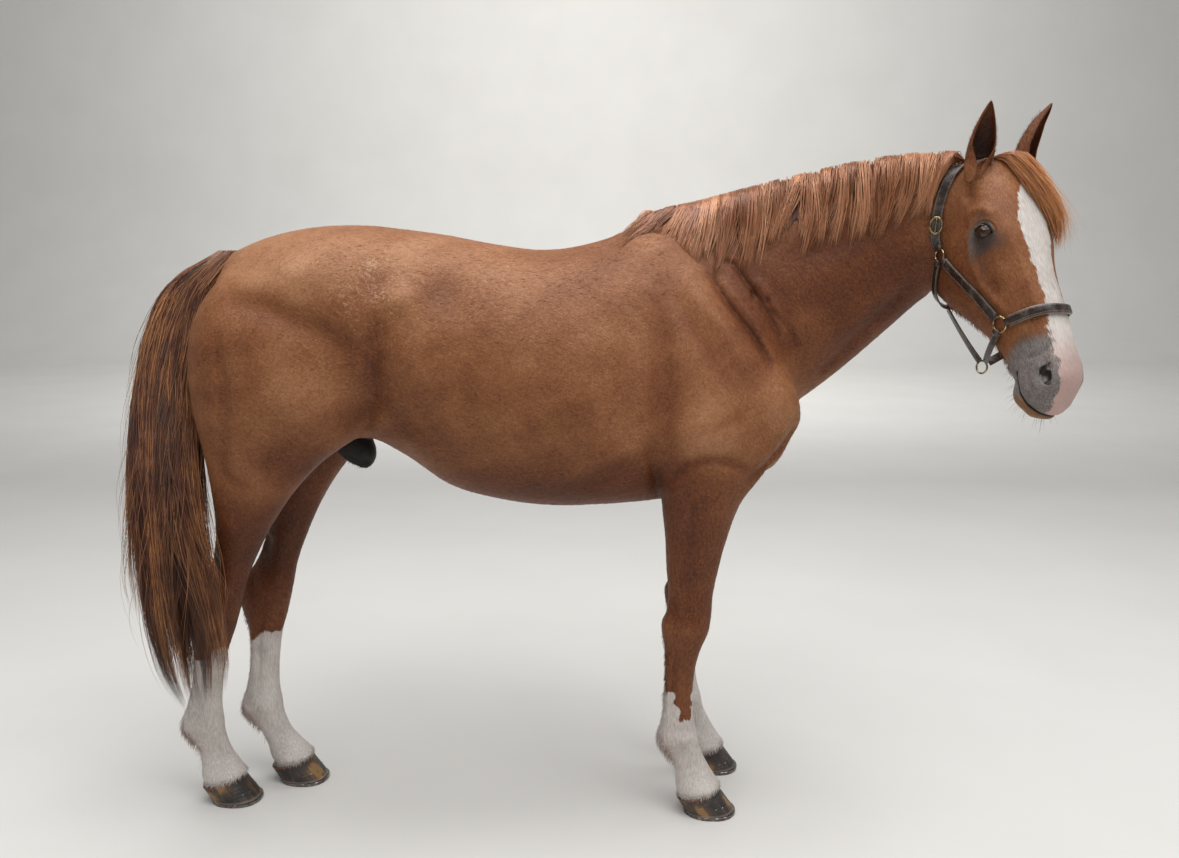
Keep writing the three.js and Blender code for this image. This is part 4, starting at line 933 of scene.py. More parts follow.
@dataclass
class Markings:
    """Where the horse is white, sooty, pink, cream, dusty, light or dark, for its hide and for every tuft on it; light
    and dark include painted light and shade.
    """

    flesh: Flesh
    ears: tuple["Ear", ...] = ()

    def at(self, points: Array) -> dict[str, Array]:
        """The marks at points: white in millimetres inside the marking, the others as strengths.

        Args:
            points: n by 3, in millimetres.
        """
        x, y, z = points.T
        s, l, out = self.flesh.head.local(points).T
        head = on_head(x, z)
        # the coat's own colour changes, with painted light and shade, from the table
        tone_and_shading = sum(a * bell((x, cx, rx), (z, cz, rz)) for cx, cz, rx, rz, a in TONES_AND_SHADING)
        tone_and_shading = tone_and_shading - 0.12 + 0.08 * waves(points, 420, 3) + 0.08 * waves(points, 150, 4)
        # painted shade: the coat is darker towards the ground, below 950 mm
        tone_and_shading = tone_and_shading - 0.35 * (1 - ease(600, 950, z)) + 0.1 * head
        tone_and_shading = tone_and_shading + 0.05 * waves(points, 46, 5) * ease(800, 1000, z)
        # painted shade along the neck's folds on its right side, and painted shade and light from the reliefs: darker
        # in their hollows, lighter on their swells
        folds = sum(bell((along_line(points[:, [0, 2]], fold.line)[0], 0, 8)) for fold in FOLDS)
        tone_and_shading = tone_and_shading - 0.14 * folds * ease(0, 80, -y) + 0.34 * np.tanh(self.flesh.reliefs(points) / 13)
        # painted shade: darker near the median plane, between the legs and under the belly
        tone_and_shading = tone_and_shading - 0.5 * bell((np.abs(y), 0, 70)) * (1 - ease(900, 1010, z)) * ease(500, 800, z)
        tone_and_shading = np.maximum(tone_and_shading, np.tanh(tone_and_shading))
        white = np.maximum(self.stockings(points), np.where(head > 0.5, self.blaze(s, l, out), -400.0))
        dark, pink, cream = np.zeros(len(points)), np.zeros(len(points)), np.zeros(len(points))
        here = np.flatnonzero(head > 0.5)
        dark[here], pink[here], cream[here] = self.face(s[here], l[here], out[here])
        sheath = self.flesh.sheath.distance(points)
        dark = np.maximum(dark, 1.3 * (1 - ease(4, 20, sheath)) * (x < -450))
        for ear in self.ears:
            up, away = ear.about_stem(points)
            # the ears are a darker brown, with painted shade deepest in the hollow of each lining
            tone_and_shading = tone_and_shading - 0.5 * (1 - ease(36, 50, away)) * ease(28, 62, up) - 0.7 * ear.shaded(points)
        fetlock = sum(bell((leg.behind(points), 10, 26), (z, 200, 40)) * (y * leg.side.value > 0) for leg in LEGS)
        pink = np.maximum(pink, 0.45 * np.clip(fetlock, 0, 1))
        dust = (0.8 + 0.35 * waves(points, 90, 17)) * bell((x, -560, 95), (z, 1440, 105))
        dust = dust + 0.5 * bell((x, -300, 260), (z, 1480, 90))
        dusky = head * (1 - ease(455, 490, s))
        return {"white": white, "dusky": dusky, "dark": dark, "pink": pink, "cream": cream, "tone_and_shading": tone_and_shading, "dust": dust,
                "lie_head": head, "lie_leg": 1 - ease(760, 1120, z), "lie_neck": ease(150, 420, x) * (1 - head)}

    def stockings(self, points: Array) -> Array:
        """How far below the top of a leg's white points are: level, but lower down the front of a foreleg."""
        x, _, z = points.T
        best = np.full(len(points), -400.0)
        for leg in LEGS:
            here = (z < 620) & leg.mine(points)
            q = leg.loft.look_up(z[here])
            ahead = (x[here] - q[:, WIDE]) / q[:, HALF]
            wander = 9 * waves(points[here], 90, 11) + 5 * waves(points[here], 34, 12)
            ahead = ahead + 0.16 * waves(points[here], 44, 13)
            tongue = ease(-0.55, 0.0, ahead) * (1 - ease(0.7, 1.2, ahead))
            step = 64 - 80 * tongue if leg.name == "fore_right" else 14 * np.tanh(2 * ahead)
            best[here] = leg.white + step + wander - z[here]
        return best

    def blaze(self, s: Array, l: Array, out: Array) -> Array:
        """How far inside the blaze points are, between two edges drawn down the face."""
        right, left = np.interp(s, *BLAZE_RIGHT), np.interp(s, *BLAZE_LEFT)
        ragged = 2.2 * np.sin(s / 9.0) + 1.5 * np.sin(s / 3.7 + l / 5)
        inside = np.minimum(np.minimum(right - l, l - left), s - 84) + ragged
        return np.minimum(inside, (out + np.where(s > 560, 104, 66)) * 0.8)

    def face(self, s: Array, l: Array, out: Array) -> tuple[Array, Array, Array]:
        """Sooty, pink and cream strengths on the head; the sooty one also holds painted shade in the nostrils and along
        the mouth.
        """
        side = np.abs(l)
        local = np.stack([s, side, out], axis=1)
        muzzle = ease(436, 500, s + 0.10 * (out + 60) + 9 * np.sin(out / 19) + 6 * np.sin(side / 11 + s / 23))
        eye = local - EYE
        long, tall = eye @ EYE_LONG, eye @ EYE_TALL
        ring = np.hypot(long / 1.3, (tall + 15) / 1.35)
        patch = 0.56 * (1 - ease(26, 58, ring + 6 * np.sin(long / 13) + 4 * np.sin(tall / 9)))
        patch = patch + 0.38 * (1 - ease(16, 36, ring))
        tears = 0.4 * bell((out, -96, 24), (s, 262, 42)) * (side > 50)
        rim = 1.3 * (1 - ease(0.25, 0.75, lids(long, tall))) * (np.linalg.norm(eye, axis=1) < 44)
        nostril = np.linalg.norm((local - NOSTRIL) * [0.9, 0.6, 1.3], axis=1)
        # the nostrils' dark lining, with painted shade inside the openings
        hole = 1.4 * (1 - ease(16, 27, nostril))
        away, _ = along_line(np.stack([s, out], axis=1), MOUTH)
        # painted shade along the crease between the lips, over their dark edge
        lips = 1.2 * (1 - ease(2.5, 7, away))
        spot = 0.95 * bell((s, 596, 7), (l, -12, 6)) * (out > -60)
        dark = np.maximum.reduce([0.82 * muzzle, patch, tears, rim, hole, lips, spot])
        pink = ease(455, 600, s) * (out > -110)
        below = np.interp(s, *np.array(MOUTH).T) - out
        cream = ease(575, 605, s) * ease(0, 6, below) * (1 - ease(34, 56, below))
        return dark, pink, cream


def lie(points: Array, normals: Array, flesh: Flesh, ears: Sequence["Ear"] = ()) -> Array:
    """The way the coat lies: back and down the body, down the legs, down the face, up the ears."""
    x, _, z = points.T
    head = on_head(x, z)[:, None]
    leg = (1 - ease(760, 1120, z))[:, None]
    rump = (1 - ease(-820, -560, x))[:, None]
    shoulder = (ease(120, 330, x) * (1 - ease(420, 600, x)))[:, None]
    way = np.array([-0.92, 0, -0.38]) * (1 - rump) + np.array([-0.45, 0, -0.9]) * rump
    way = way * (1 - shoulder) + np.array([-0.5, 0, -0.86]) * shoulder
    way = way * (1 - leg) + np.array([-0.12, 0, -1.0]) * leg
    way = way * (1 - head) + flesh.head.axes[0] * head
    for ear in ears:
        up, away = ear.about_stem(points)
        on = ((away < 45) & (up > 50))[:, None]
        way = np.where(on, ear.axis, way)
    way = way - (way * normals).sum(axis=1, keepdims=True) * normals
    return unit(way)


# ------------------------------------------------------------------ hair
ATLAS = {  # part: column and row of its cell in a 4 by 3 grid on the OFBake map
    "trunk": (0, 0), "neck": (1, 0), "head": (2, 0), "tail": (3, 0), "fore_right": (0, 1), "fore_left": (1, 1),
    "hind_right": (2, 1), "hind_left": (3, 1), "sheath": (0, 2),
}


def unwrapped(points: Array, flesh: Flesh) -> Array:
    """Places on the OFBake map: each loft is unrolled in its own cell, round it across and along it upwards."""
    lofts = {"trunk": flesh.trunk, "neck": flesh.neck, "head": flesh.head, "tail": flesh.tail, "sheath": flesh.sheath}
    lofts |= {leg.name: leg.loft for leg in LEGS}
    nearest, uv = np.full(len(points), np.inf), np.zeros((len(points), 2))
    for name, loft in lofts.items():
        away = loft.distance(points)
        at, across, up = loft.local(points).T
        q = loft.look_up(at)
        angle = np.arctan2(up - q[:, WIDE], across - q[:, ASIDE])
        share = (at - loft.start) / (loft.end - loft.start)
        place = np.stack([0.02 + 0.96 * (angle / (2 * np.pi) + 0.5), 0.02 + 0.96 * share], 1)
        place = (np.clip(place, 0.01, 0.99) + ATLAS[name]) / [4, 3]
        closer = away < nearest
        nearest, uv = np.where(closer, away, nearest), np.where(closer[:, None], place, uv)
    return uv


def locks(paths: Array, width: Array, normals: Array, flesh: Flesh, shade: Array,
          flat: float = 0.55, marks: dict[str, Array] | None = None) -> Shape:
    """Tapered three-sided locks of hair along paths, each a closed solid.

    At each place on a path stands a triangle: its corners are the place plus width times the cosine of 90, 210
    and 330 degrees across the lock and flat times the sine along the normal. The last place is the tip, one point.

    Args:
        paths: count by places by 3, from root to tip; there are at least two places.
        width: each lock's half width at its root.
        normals: count by places by 3, or count by 3, away from the skin.
        flesh: for the roots' places on the OFBake map.
        shade: one number for each lock, for its colour.
        flat: thickness for each width.
        marks: more values, one for each lock.
    """
    count, places = paths.shape[:2]
    normals = normals[:, None, :] if normals.ndim == 2 else normals
    along = unit(np.gradient(paths, axis=1))
    across = unit(np.cross(along, normals))
    up = unit(np.cross(across, along))
    share = np.linspace(0, 1, places)
    taper = np.clip(0.75 + 1.1 * share, 0, 1) * (1 - share**2.2)
    wide = (width[:, None] * taper)[..., None]
    turns = np.radians([90, 210, 330])
    rings = np.stack([paths + wide * (across * np.cos(t) + up * np.sin(t) * flat) for t in turns], axis=2)[:, :-1]
    points = np.concatenate([rings.reshape(count, -1, 3), paths[:, -1:]], axis=1)
    size = points.shape[1]
    i, k = np.meshgrid(np.arange(places - 2), np.arange(3), indexing="ij")
    a, b = i * 3 + k, i * 3 + (k + 1) % 3
    quads = np.stack([a, b, b + 3, a + 3], axis=-1).reshape(-1, 4)
    last = size - 1
    tip = [[last - 3, last - 2, last, last], [last - 2, last - 1, last, last], [last - 1, last - 3, last, last]]
    faces = np.vstack([quads, [[2, 1, 0, 0]], tip])
    faces = (faces[None] + (np.arange(count) * size)[:, None, None]).reshape(-1, 4)
    place = np.append(np.repeat(share[:-1], 3), 1.0)
    patch = np.stack([np.append(np.tile([-1.0, 0, 1], places - 1), 0.0), 2 * place - 1], axis=-1) * 0.0015
    uv = (unwrapped(paths[:, 0], flesh)[:, None, :] + patch[None]).reshape(-1, 2)
    values = {"shade": np.repeat(shade, size), "along": np.tile(place, count)}
    values |= {name: np.repeat(mark, size) for name, mark in (marks or {}).items()}
    return Shape(points.reshape(-1, 3), faces, values, uv[faces])


@dataclass
class Ear:
    """An ear: a leaf rolled round its stem and open at the front, ending in a tip that curls in a little.

    Attributes:
        name: which ear.
        hand: 1 on the horse's right, -1 on its left.
        tip: the tip on the head's axes.
        facing: the way its opening faces, on the head's axes.
    """

    name: str
    hand: int
    tip: tuple[float, float, float]
    facing: tuple[float, float, float]
    flesh: Flesh
    width: float = 34.0
    wall: float = 5.0

    def __post_init__(self) -> None:
        """Works out the ear's own directions: along its stem, to its front, and across."""
        head = self.flesh.head
        base, tip = head.world(np.array([[24, 88.0 * self.hand, -34], self.tip]))
        self.axis = unit(tip - base)
        front = np.array(self.facing) @ head.axes
        self.front = unit(front - front @ self.axis * self.axis)
        self.across = np.cross(self.axis, self.front)
        self.root = base - 44 * self.axis
        self.length = np.linalg.norm(tip - self.root)

    def about_stem(self, points: Array) -> tuple[Array, Array]:
        """How far points are up the ear's straight axis, and how far away from it."""
        up = (points - self.root) @ self.axis
        return up, np.linalg.norm(points - self.root - up[:, None] * self.axis, axis=1)

    def half(self, u: Array) -> Array:
        """The leaf's radius at a share of the way up: widest a third of the way, narrow at the root and tip."""
        return self.width * np.sin(np.pi * (0.2 + 0.8 * np.clip(u, 0, 1))) ** 0.82 * (1 - 0.1 * u) + 0.6

    def spread(self, u: Array) -> Array:
        """How far round the leaf reaches on each side at a share of the way up, in radians: a tube that opens."""
        return 2.95 - 0.88 * ease(0.2, 0.52, u) + 0.45 * ease(0.75, 1.0, u)

    def stem(self, u: Array) -> Array:
        """The stem's points: it bows back in the middle and forward at the tip."""
        bow = -7 * np.sin(np.pi * u) + 5 * ease(0.75, 1.0, u)
        lean = 4 * self.hand * np.sin(np.pi * u)
        bowed = self.root + self.length * u[..., None] * self.axis + bow[..., None] * self.front
        return bowed + lean[..., None] * self.across

    def place(self, u: Array, turn: Array, inset: Array | float = 0.0) -> Array:
        """Points of the leaf: the stem, plus the radius round it at turn times the spread, less an inset."""
        radius, angle = self.half(u) - inset, turn * self.spread(u)
        sideways = (radius * np.sin(angle))[..., None] * self.across
        return self.stem(u) + sideways - (radius * np.cos(angle) * 0.82)[..., None] * self.front

    def shape(self) -> Shape:
        """The closed ear: rings that run round the outside, over one edge, back inside and over the other."""
        u = np.linspace(0, 0.985, 44)[:, None]
        turn = np.sin(np.linspace(-np.pi / 2, np.pi / 2, 23))
        wall = self.wall * np.clip(0.35 + 1.3 * (1 - u), 0, 1) * (1 - 0.45 * np.abs(turn))
        wall = np.minimum(wall, self.half(u) * 0.6)
        outer = self.place(u, turn[None, :])
        inner = self.place(u, turn[None, ::-1] * 0.975, wall[:, ::-1])
        return tube(np.concatenate([outer, inner], axis=1)[:, ::-1])

    def shaded(self, points: Array) -> Array:
        """How dark the ear's lining is painted: painted shade in its hollow, darkest low down and in its middle, brown
        towards the tip and edges.
        """
        u = np.clip((points - self.root) @ self.axis / self.length, 0, 1)
        p = points - self.stem(u)
        turned = np.abs(np.arctan2(p @ self.across, -(p @ self.front) / 0.82)) / self.spread(u)
        return self.inside(points) * (0.95 - 0.55 * ease(0.45, 0.85, u)) * (1 - 0.6 * ease(0.5, 0.95, turned))

    def inside(self, points: Array) -> Array:
        """How surely points are on the inner face of the leaf, from 0 to 1."""
        u = (points - self.root) @ self.axis / self.length
        near = (u > 0.1) & (u < 1.02)
        result = np.zeros(len(points))
        p, u = points[near] - self.stem(np.clip(u[near], 0, 1)), u[near]
        a, f = p @ self.across, p @ self.front / 0.82
        radius = np.hypot(a, f)
        inner = 1 - ease(-3.4, -1.6, radius - self.half(u))
        result[near] = inner * ease(0.16, 0.3, u) * (radius < self.half(u) + 4)
        return result


# ------------------------------------------------------------------ finishes
def linear(colour: str) -> tuple[float, float, float, float]:
    """An sRGB hex colour as linear values."""
    values = [int(colour[i : i + 2], 16) / 255 for i in (1, 3, 5)]
    return (*(v / 12.92 if v <= 0.04045 else ((v + 0.055) / 1.055) ** 2.4 for v in values), 1.0)


def add(material: Material, kind: str, inputs: dict | None = None, **settings) -> bpy.types.Node:
    """Adds a node.

    Args:
        material: whose nodes.
        kind: the node's type name, without ShaderNode.
        inputs: for input names or numbers, a socket to link or a value to set.
        settings: the node's own settings.
    """
    node = material.node_tree.nodes.new("ShaderNode" + kind)
    for name, value in settings.items():
        setattr(node, name, value)
    for name, value in (inputs or {}).items():
        socket = node.inputs[name]
        if isinstance(value, Socket):
            material.node_tree.links.new(value, socket)
        else:
            socket.default_value = value
    return node


class Nodes:
    """A material in the making. Each method adds one node and gives its result."""

    def __init__(self, name: str, roughness: float) -> None:
        """Starts with the shader and the places on the piece, in metres."""
        self.material = bpy.data.materials.new(name)
        self.material.use_nodes = True
        self.shader = self.material.node_tree.nodes["Principled BSDF"]
        self.shader.inputs["Roughness"].default_value = roughness
        self.place = add(self.material, "TexCoord").outputs["Object"]

    def noise(self, scale: float, detail: float, roughness: float = 0.5, where: Socket | None = None) -> Socket:
        """Cloudy noise, scale cells to the metre."""
        inputs = {0: where or self.place, "Scale": scale, "Detail": detail, "Roughness": roughness}
        return add(self.material, "TexNoise", inputs).outputs[0]

    def ramp(self, value: Socket, *stops: tuple[float, str]) -> Socket:
        """A colour that runs through stops as a value rises."""
        node = add(self.material, "ValToRGB", {0: value})
        while len(node.color_ramp.elements) < len(stops):
            node.color_ramp.elements.new(0.5)
        for element, (place, colour) in zip(node.color_ramp.elements, stops):
            element.position, element.color = place, linear(colour)
        return node.outputs[0]

    def mark(self, name: str) -> Socket:
        """A value stored at the mesh's points."""
        return add(self.material, "Attribute", attribute_name=name).outputs["Fac"]

    def mixed(self, share: Socket | float, a: Socket | str, b: Socket | str) -> Socket:
        """Colour a passing to b by a share; each is a socket or a hex colour."""
        a, b = (linear(c) if isinstance(c, str) else c for c in (a, b))
        return add(self.material, "Mix", {0: share, 6: a, 7: b}, data_type="RGBA").outputs[2]

    def sums(self, *parts: tuple[Socket, float]) -> Socket:
        """The sum of values, each times its weight."""
        total: Socket | float = 0.0
        for value, weight in parts:
            inputs = {0: value, 1: weight, 2: total}
            total = add(self.material, "Math", inputs, operation="MULTIPLY_ADD").outputs[0]
        return total

    def span(self, value: Socket, low: float, high: float, start: float = 0.0, end: float = 1.0) -> Socket:
        """A value that runs from start to end while another runs from low to high."""
        return add(self.material, "MapRange", {0: value, 1: low, 2: high, 3: start, 4: end}).outputs[0]

    def bump(self, height: Socket, strength: float, distance: float) -> Socket:
        """Fine relief that tilts the light, distance metres deep."""
        inputs = {"Height": height, "Strength": strength, "Distance": distance}
        return add(self.material, "Bump", inputs).outputs[0]

    def wire(self, name: str, value: Socket | float | str) -> None:
        """Gives one of the shader's inputs a socket, a value or a hex colour."""
        if isinstance(value, Socket):
            self.material.node_tree.links.new(value, self.shader.inputs[name])
        else:
            self.shader.inputs[name].default_value = linear(value) if isinstance(value, str) else value


@dataclass(frozen=True)
class Finish:
    """What every finish has: its common name, and the shader's own roughness."""

    name: str
    roughness: float = 0.6

    def shade(self, n: Nodes) -> None:
        """Adds what sets the finish apart."""

    def build(self) -> Material:
        """Makes the material."""
        nodes = Nodes(self.name, self.roughness)
        self.shade(nodes)
        return nodes.material


@dataclass(frozen=True)
class HorseCoat(Finish):
    """Short chestnut summer coat: fine hair lying flat over skin, which gives a soft, broken, silky gloss.

    The hairs are drawn 3 mm wide and 20 mm long, some thirty times coarser than real ones (0.1 mm), so that
    they show from a few metres.
    """

    strength: float = 0.25
    hair: tuple[float, float, float] = (0.020, 0.0032, 0.0032)  # metres
    lies: tuple[tuple[str, tuple[float, float, float]], ...] = (
        ("", (0.0, 22.0, 0.0)), ("lie_neck", (0.0, 50.0, 0.0)), ("lie_leg", (0.0, 84.0, 0.0)),
        ("lie_head", (0.0, 62.0, -55.0)),
    )

    def shade(self, n: Nodes) -> None:
        """Streaks that lie with the hair colour the chestnut, the dark and white markings and the dust."""
        streak = None
        for name, turn in self.lies:
            inputs = {0: n.place, 2: np.radians(turn).tolist(), 3: self.hair}
            turned = add(n.material, "Mapping", inputs, vector_type="TEXTURE").outputs[0]
            noise = n.noise(1.0, 2.0, 0.6, turned)
            streak = add(n.material, "Mix", {0: n.mark(name), 2: streak, 3: noise}).outputs[0] if streak else noise
        patches, fine, grain = n.noise(9.0, 4.0), n.noise(260.0, 3.0), n.noise(120.0, 5.0, 0.75)
        # the tone mark brings the coat's own colour changes together with painted light and shade
        warmth = n.sums((n.mark("tone_and_shading"), 0.30), (patches, 0.12), (streak, 0.2), (grain, 0.3))
        warmth = n.sums((warmth, 1.0), (fine, 0.24))
        browns = (0.09, "#2a1206"), (0.26, "#5f3219"), (0.42, "#80502f"), (0.57, "#9a6c4b"), (0.78, "#b68f70")
        coat = n.ramp(warmth, *browns)
        dust = n.sums((n.mark("dust"), 0.34), (grain, 1.3), (streak, 0.5))
        coat = n.mixed(n.span(dust, 1.2, 1.5, 0.0, 0.42), coat, "#c4a486")
        sooty = n.span(n.sums((n.mark("dark"), 1.0), (patches, 0.5), (streak, 0.35)), 0.62, 1.25)
        grey = n.ramp(n.sums((streak, 0.5), (fine, 0.5)), (0.3, "#4c4644"), (0.7, "#87807c"))
        coat = n.mixed(sooty, coat, n.mixed(n.mark("dusky"), grey, "#453730"))
        whiteness = n.span(n.sums((n.mark("white"), 0.1), (streak, 1.5), (patches, 1.0)), 1.1, 1.5)
        pink = n.sums((n.mark("pink"), 0.75))
        hair = n.ramp(n.sums((streak, 0.5), (patches, 0.5)), (0.35, "#a79d96"), (0.6, "#cdc5be"))
        coat = n.mixed(whiteness, coat, n.mixed(pink, hair, "#b08a82"))
        coat = n.mixed(n.mark("cream"), coat, n.ramp(patches, (0.4, "#7c5638"), (0.6, "#b08c66")))
        # near black: the sheath's skin and the eyelids' rims, and painted shade in the nostrils and along the mouth
        deep = n.span(n.mark("dark"), 0.86, 1.2)
        n.wire("Base Color", n.mixed(deep, coat, "#17120f"))
        n.wire("Normal", n.bump(n.sums((streak, 1.0), (fine, 0.35)), self.strength, 0.004))
        n.wire("Roughness", n.span(streak, 0.25, 0.75, self.roughness + 0.1, self.roughness - 0.1))
        n.wire("Specular IOR Level", 0.26)
        n.wire("Sheen Weight", 0.05)
        n.wire("Sheen Roughness", 0.4)
        n.wire("Sheen Tint", "#e8c8a8")


@dataclass(frozen=True)
class LongHair(Finish):
    """Long hair of mane, tail or forelock: smooth round fibres, glossy along each lock, bleached by the sun."""

    dark: str = "#5a3018"
    mid: str = "#9a6040"
    light: str = "#c89468"
    tips: float = 0.15

    def shade(self, n: Nodes) -> None:
        """Each lock has its own shade, paler towards its tip."""
        patches = n.noise(14.0, 3.0)
        value = n.sums((n.mark("shade"), 0.7), (n.mark("along"), self.tips), (patches, 0.4))
        n.wire("Base Color", n.ramp(value, (0.18, self.dark), (0.52, self.mid), (0.88, self.light)))
        n.wire("Normal", n.bump(n.noise(700.0, 1.0), 0.15, 0.001))
        n.wire("Specular IOR Level", 0.6)
        n.wire("Sheen Weight", 0.1)
        n.wire("Sheen Tint", "#f0c8a0")


@dataclass(frozen=True)
class HoofHorn(Finish):
    """Hoof horn: hard keratin grown in tubes down the wall, with rings across it, rasped dull and dusty at the edge."""

    def shade(self, n: Nodes) -> None:
        """Tubes run down the wall; it is browner under the hair and dusty at the ground."""
        up, turn = n.mark("up"), n.mark("turn")
        across = add(n.material, "CombineXYZ", {0: n.sums((turn, 26.0)), 1: n.sums((up, 1.2)), 2: 0.0}).outputs[0]
        tubes = n.noise(1.0, 4.0, 0.65, across)
        patches = n.noise(22.0, 3.0)
        value = n.sums((tubes, 0.75), (patches, 0.75), (n.mark("tan"), 0.9), (up, -0.06))
        colour = n.ramp(value, (0.45, "#131010"), (0.72, "#2e2926"), (0.9, "#5a4330"), (1.0, "#86683f"))
        colour = n.mixed(n.span(up, 0.84, 0.97, 0.0, 0.7), colour, "#7d4a38")
        n.wire("Base Color", n.mixed(n.span(up, 0.12, 0.0, 0.0, 0.55), colour, "#9a9088"))
        n.wire("Normal", n.bump(tubes, 0.3, 0.002))


@dataclass(frozen=True)
class ForgedSteel(Finish):
    """Horseshoe steel: forged and rasped, worn bright under the edge and dusted brown with rust and sand."""

    def shade(self, n: Nodes) -> None:
        """Rust is rougher and browner than the worn steel."""
        rust = n.noise(90.0, 5.0)
        n.wire("Base Color", n.ramp(rust, (0.35, "#8c8782"), (0.55, "#6a615b"), (0.75, "#6b4a36")))
        n.wire("Roughness", n.ramp(rust, (0.4, "#606060"), (0.7, "#c0c0c0")))
        n.wire("Normal", n.bump(rust, 0.3, 0.001))
        n.wire("Metallic", 0.9)


@dataclass(frozen=True)
class BridleLeather(Finish):
    """Bridle leather: dyed dark brown and waxed, with a fine pebbled grain, cracked and paler where it bends.

    The grain is drawn 1.5 mm across, some three times coarser than real.
    """

    body: str = "#2c211c"
    worn: str = "#584a41"

    def shade(self, n: Nodes) -> None:
        """Wear is paler and duller, most of all at the edges."""
        grain = add(n.material, "TexVoronoi", {0: n.place, "Scale": 650.0}).outputs[0]
        wear = n.noise(45.0, 5.0, 0.7)
        value = n.sums((wear, 1.0), (n.mark("edge"), 0.22), (grain, 0.12))
        n.wire("Base Color", n.ramp(value, (0.35, "#1d1614"), (0.55, self.body), (0.8, self.worn)))
        n.wire("Normal", n.bump(n.sums((grain, 0.5), (wear, 1.0)), 0.35, 0.001))
        n.wire("Roughness", n.ramp(wear, (0.3, "#5a5a5a"), (0.7, "#9a9a9a")))


@dataclass(frozen=True)
class SolidBrass(Finish):
    """Cast brass: polished once, now dull yellow with brown tarnish in the hollows."""

    def shade(self, n: Nodes) -> None:
        """Tarnish is browner and rougher."""
        tarnish = n.noise(160.0, 4.0)
        n.wire("Base Color", n.ramp(tarnish, (0.3, "#75654a"), (0.5, "#a8946c"), (0.7, "#cdbf9c")))
        n.wire("Roughness", n.ramp(tarnish, (0.35, "#707070"), (0.65, "#404040")))
        n.wire("Metallic", 1.0)


@dataclass(frozen=True)
class LinenThread(Finish):
    """Waxed linen thread: twisted, pale grey with dust, and matt."""

    colour: str = "#a89c90"

    def shade(self, n: Nodes) -> None:
        """The twist shows as light and dark."""
        n.wire("Base Color", n.ramp(n.noise(900.0, 2.0), (0.3, "#7c7066"), (0.7, self.colour)))


@dataclass(frozen=True)
class EyeBall(Finish):
    """A horse's eye: dark brown iris round a long level pupil, under a wet clear cornea that reflects the sky."""

    def shade(self, n: Nodes) -> None:
        """Pupil, iris and the dark rim follow each other outwards."""
        flecks = n.noise(500.0, 3.0)
        value = n.sums((n.mark("iris"), 1.0), (flecks, 0.25))
        n.wire("Base Color", n.ramp(value, (0.1, "#040303"), (0.28, "#1d0f08"), (0.7, "#43240f"), (1.0, "#160d0a")))
        n.wire("Coat Weight", 0.6)
        n.wire("Coat Roughness", 0.03)
        n.wire("Specular IOR Level", 0.3)


@dataclass(frozen=True)
class PaleFloor(Finish):
    """A pale matt painted floor and wall, with a faint mottle."""

    def shade(self, n: Nodes) -> None:
        """The mottle is broad and faint."""
        n.wire("Base Color", n.ramp(n.noise(1.5, 3.0), (0.3, "#d4d1cc"), (0.7, "#d8d5d0")))


# ------------------------------------------------------------------ the horse's pieces
@dataclass
class Skin:
    """The whole hide with its ears, in one piece, and the places where its hair grows."""

    flesh: Flesh
    ears: tuple[Ear, ...]
    marks: Markings

    def __post_init__(self) -> None:
        """Finds the hide and joins the ears to it."""
        body = Hide(self.flesh).body
        self.shape = self.with_ears(body)

    def with_ears(self, body: Shape) -> Shape:
        """The hide and the ears as one closed surface, with the hollow between them rounded."""
        pieces = []
        for shape in (body, *(ear.shape() for ear in self.ears)):
            mesh = bpy.data.meshes.new("part")
            mesh.from_pydata(shape.points.tolist(), [], [tuple(dict.fromkeys(face)) for face in shape.faces.tolist()])
            piece = bpy.data.objects.new("part", mesh)
            bpy.context.scene.collection.objects.link(piece)
            pieces.append(piece)
        for ear in pieces[1:]:
            modifier = pieces[0].modifiers.new("join", "BOOLEAN")
            modifier.operation, modifier.solver, modifier.object = "UNION", "MANIFOLD", ear
        pieces[0].modifiers.new("triangles", "TRIANGULATE")
        joined = bpy.data.meshes.new_from_object(pieces[0].evaluated_get(bpy.context.evaluated_depsgraph_get()))
        points = np.zeros(len(joined.vertices) * 3)
        joined.vertices.foreach_get("co", points)
        faces = np.zeros(len(joined.polygons) * 3, np.int32)
        joined.polygons.foreach_get("vertices", faces)
        for piece in pieces:
            bpy.data.objects.remove(piece)
        points, faces = points.reshape(-1, 3), faces.reshape(-1, 3).astype(int)
        log.info("hide with ears: %d points, %d triangles", len(points), len(faces))
        roots = np.array([ear.root + 46 * ear.axis for ear in self.ears])
        near = np.linalg.norm(points[:, None] - roots, axis=2).min(axis=1) < 75
        seam = near & (np.abs(self.flesh(points)) < 13)
        for _ in range(26):
            points[seam] = evened(points, faces, 0.6, flat=False)[seam]
        return Shape(points, faces)

    def build(self, material: Material) -> None:
        """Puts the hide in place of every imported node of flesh."""
        self.shape.marks = self.marks.at(self.shape.points)
        legs = [f"{kind}_{leg.name}" for kind in ("leg", "stocking") for leg in LEGS]
        ears = [ear.name for ear in self.ears]
        put("horse_skin", self.shape, material, "coat", "trunk", "neck", "head", "sheath", *legs, *ears)

    def roots(self, count: int, rng: np.random.Generator, weight: Callable[[Array], Array]) -> tuple[Array, Array]:
        """Random places on the hide and its outward directions there.

        Args:
            count: how many.
            rng: the random numbers.
            weight: how thickly they stand, for the middles of triangles.
        """
        p, f = self.shape.points, self.shape.faces
        normals = self.shape.normals()
        corner = p[f]
        area = np.linalg.norm(np.cross(corner[:, 1] - corner[:, 0], corner[:, 2] - corner[:, 0]), axis=1)
        chance = area * weight(corner.mean(axis=1))
        which = rng.choice(len(f), count, p=chance / chance.sum())
        a, b = np.sqrt(rng.random(count)), rng.random(count)
        share = np.stack([1 - a, a * (1 - b), a * b], axis=1)[..., None]
        return (p[f[which]] * share).sum(axis=1), unit((normals[f[which]] * share).sum(axis=1))


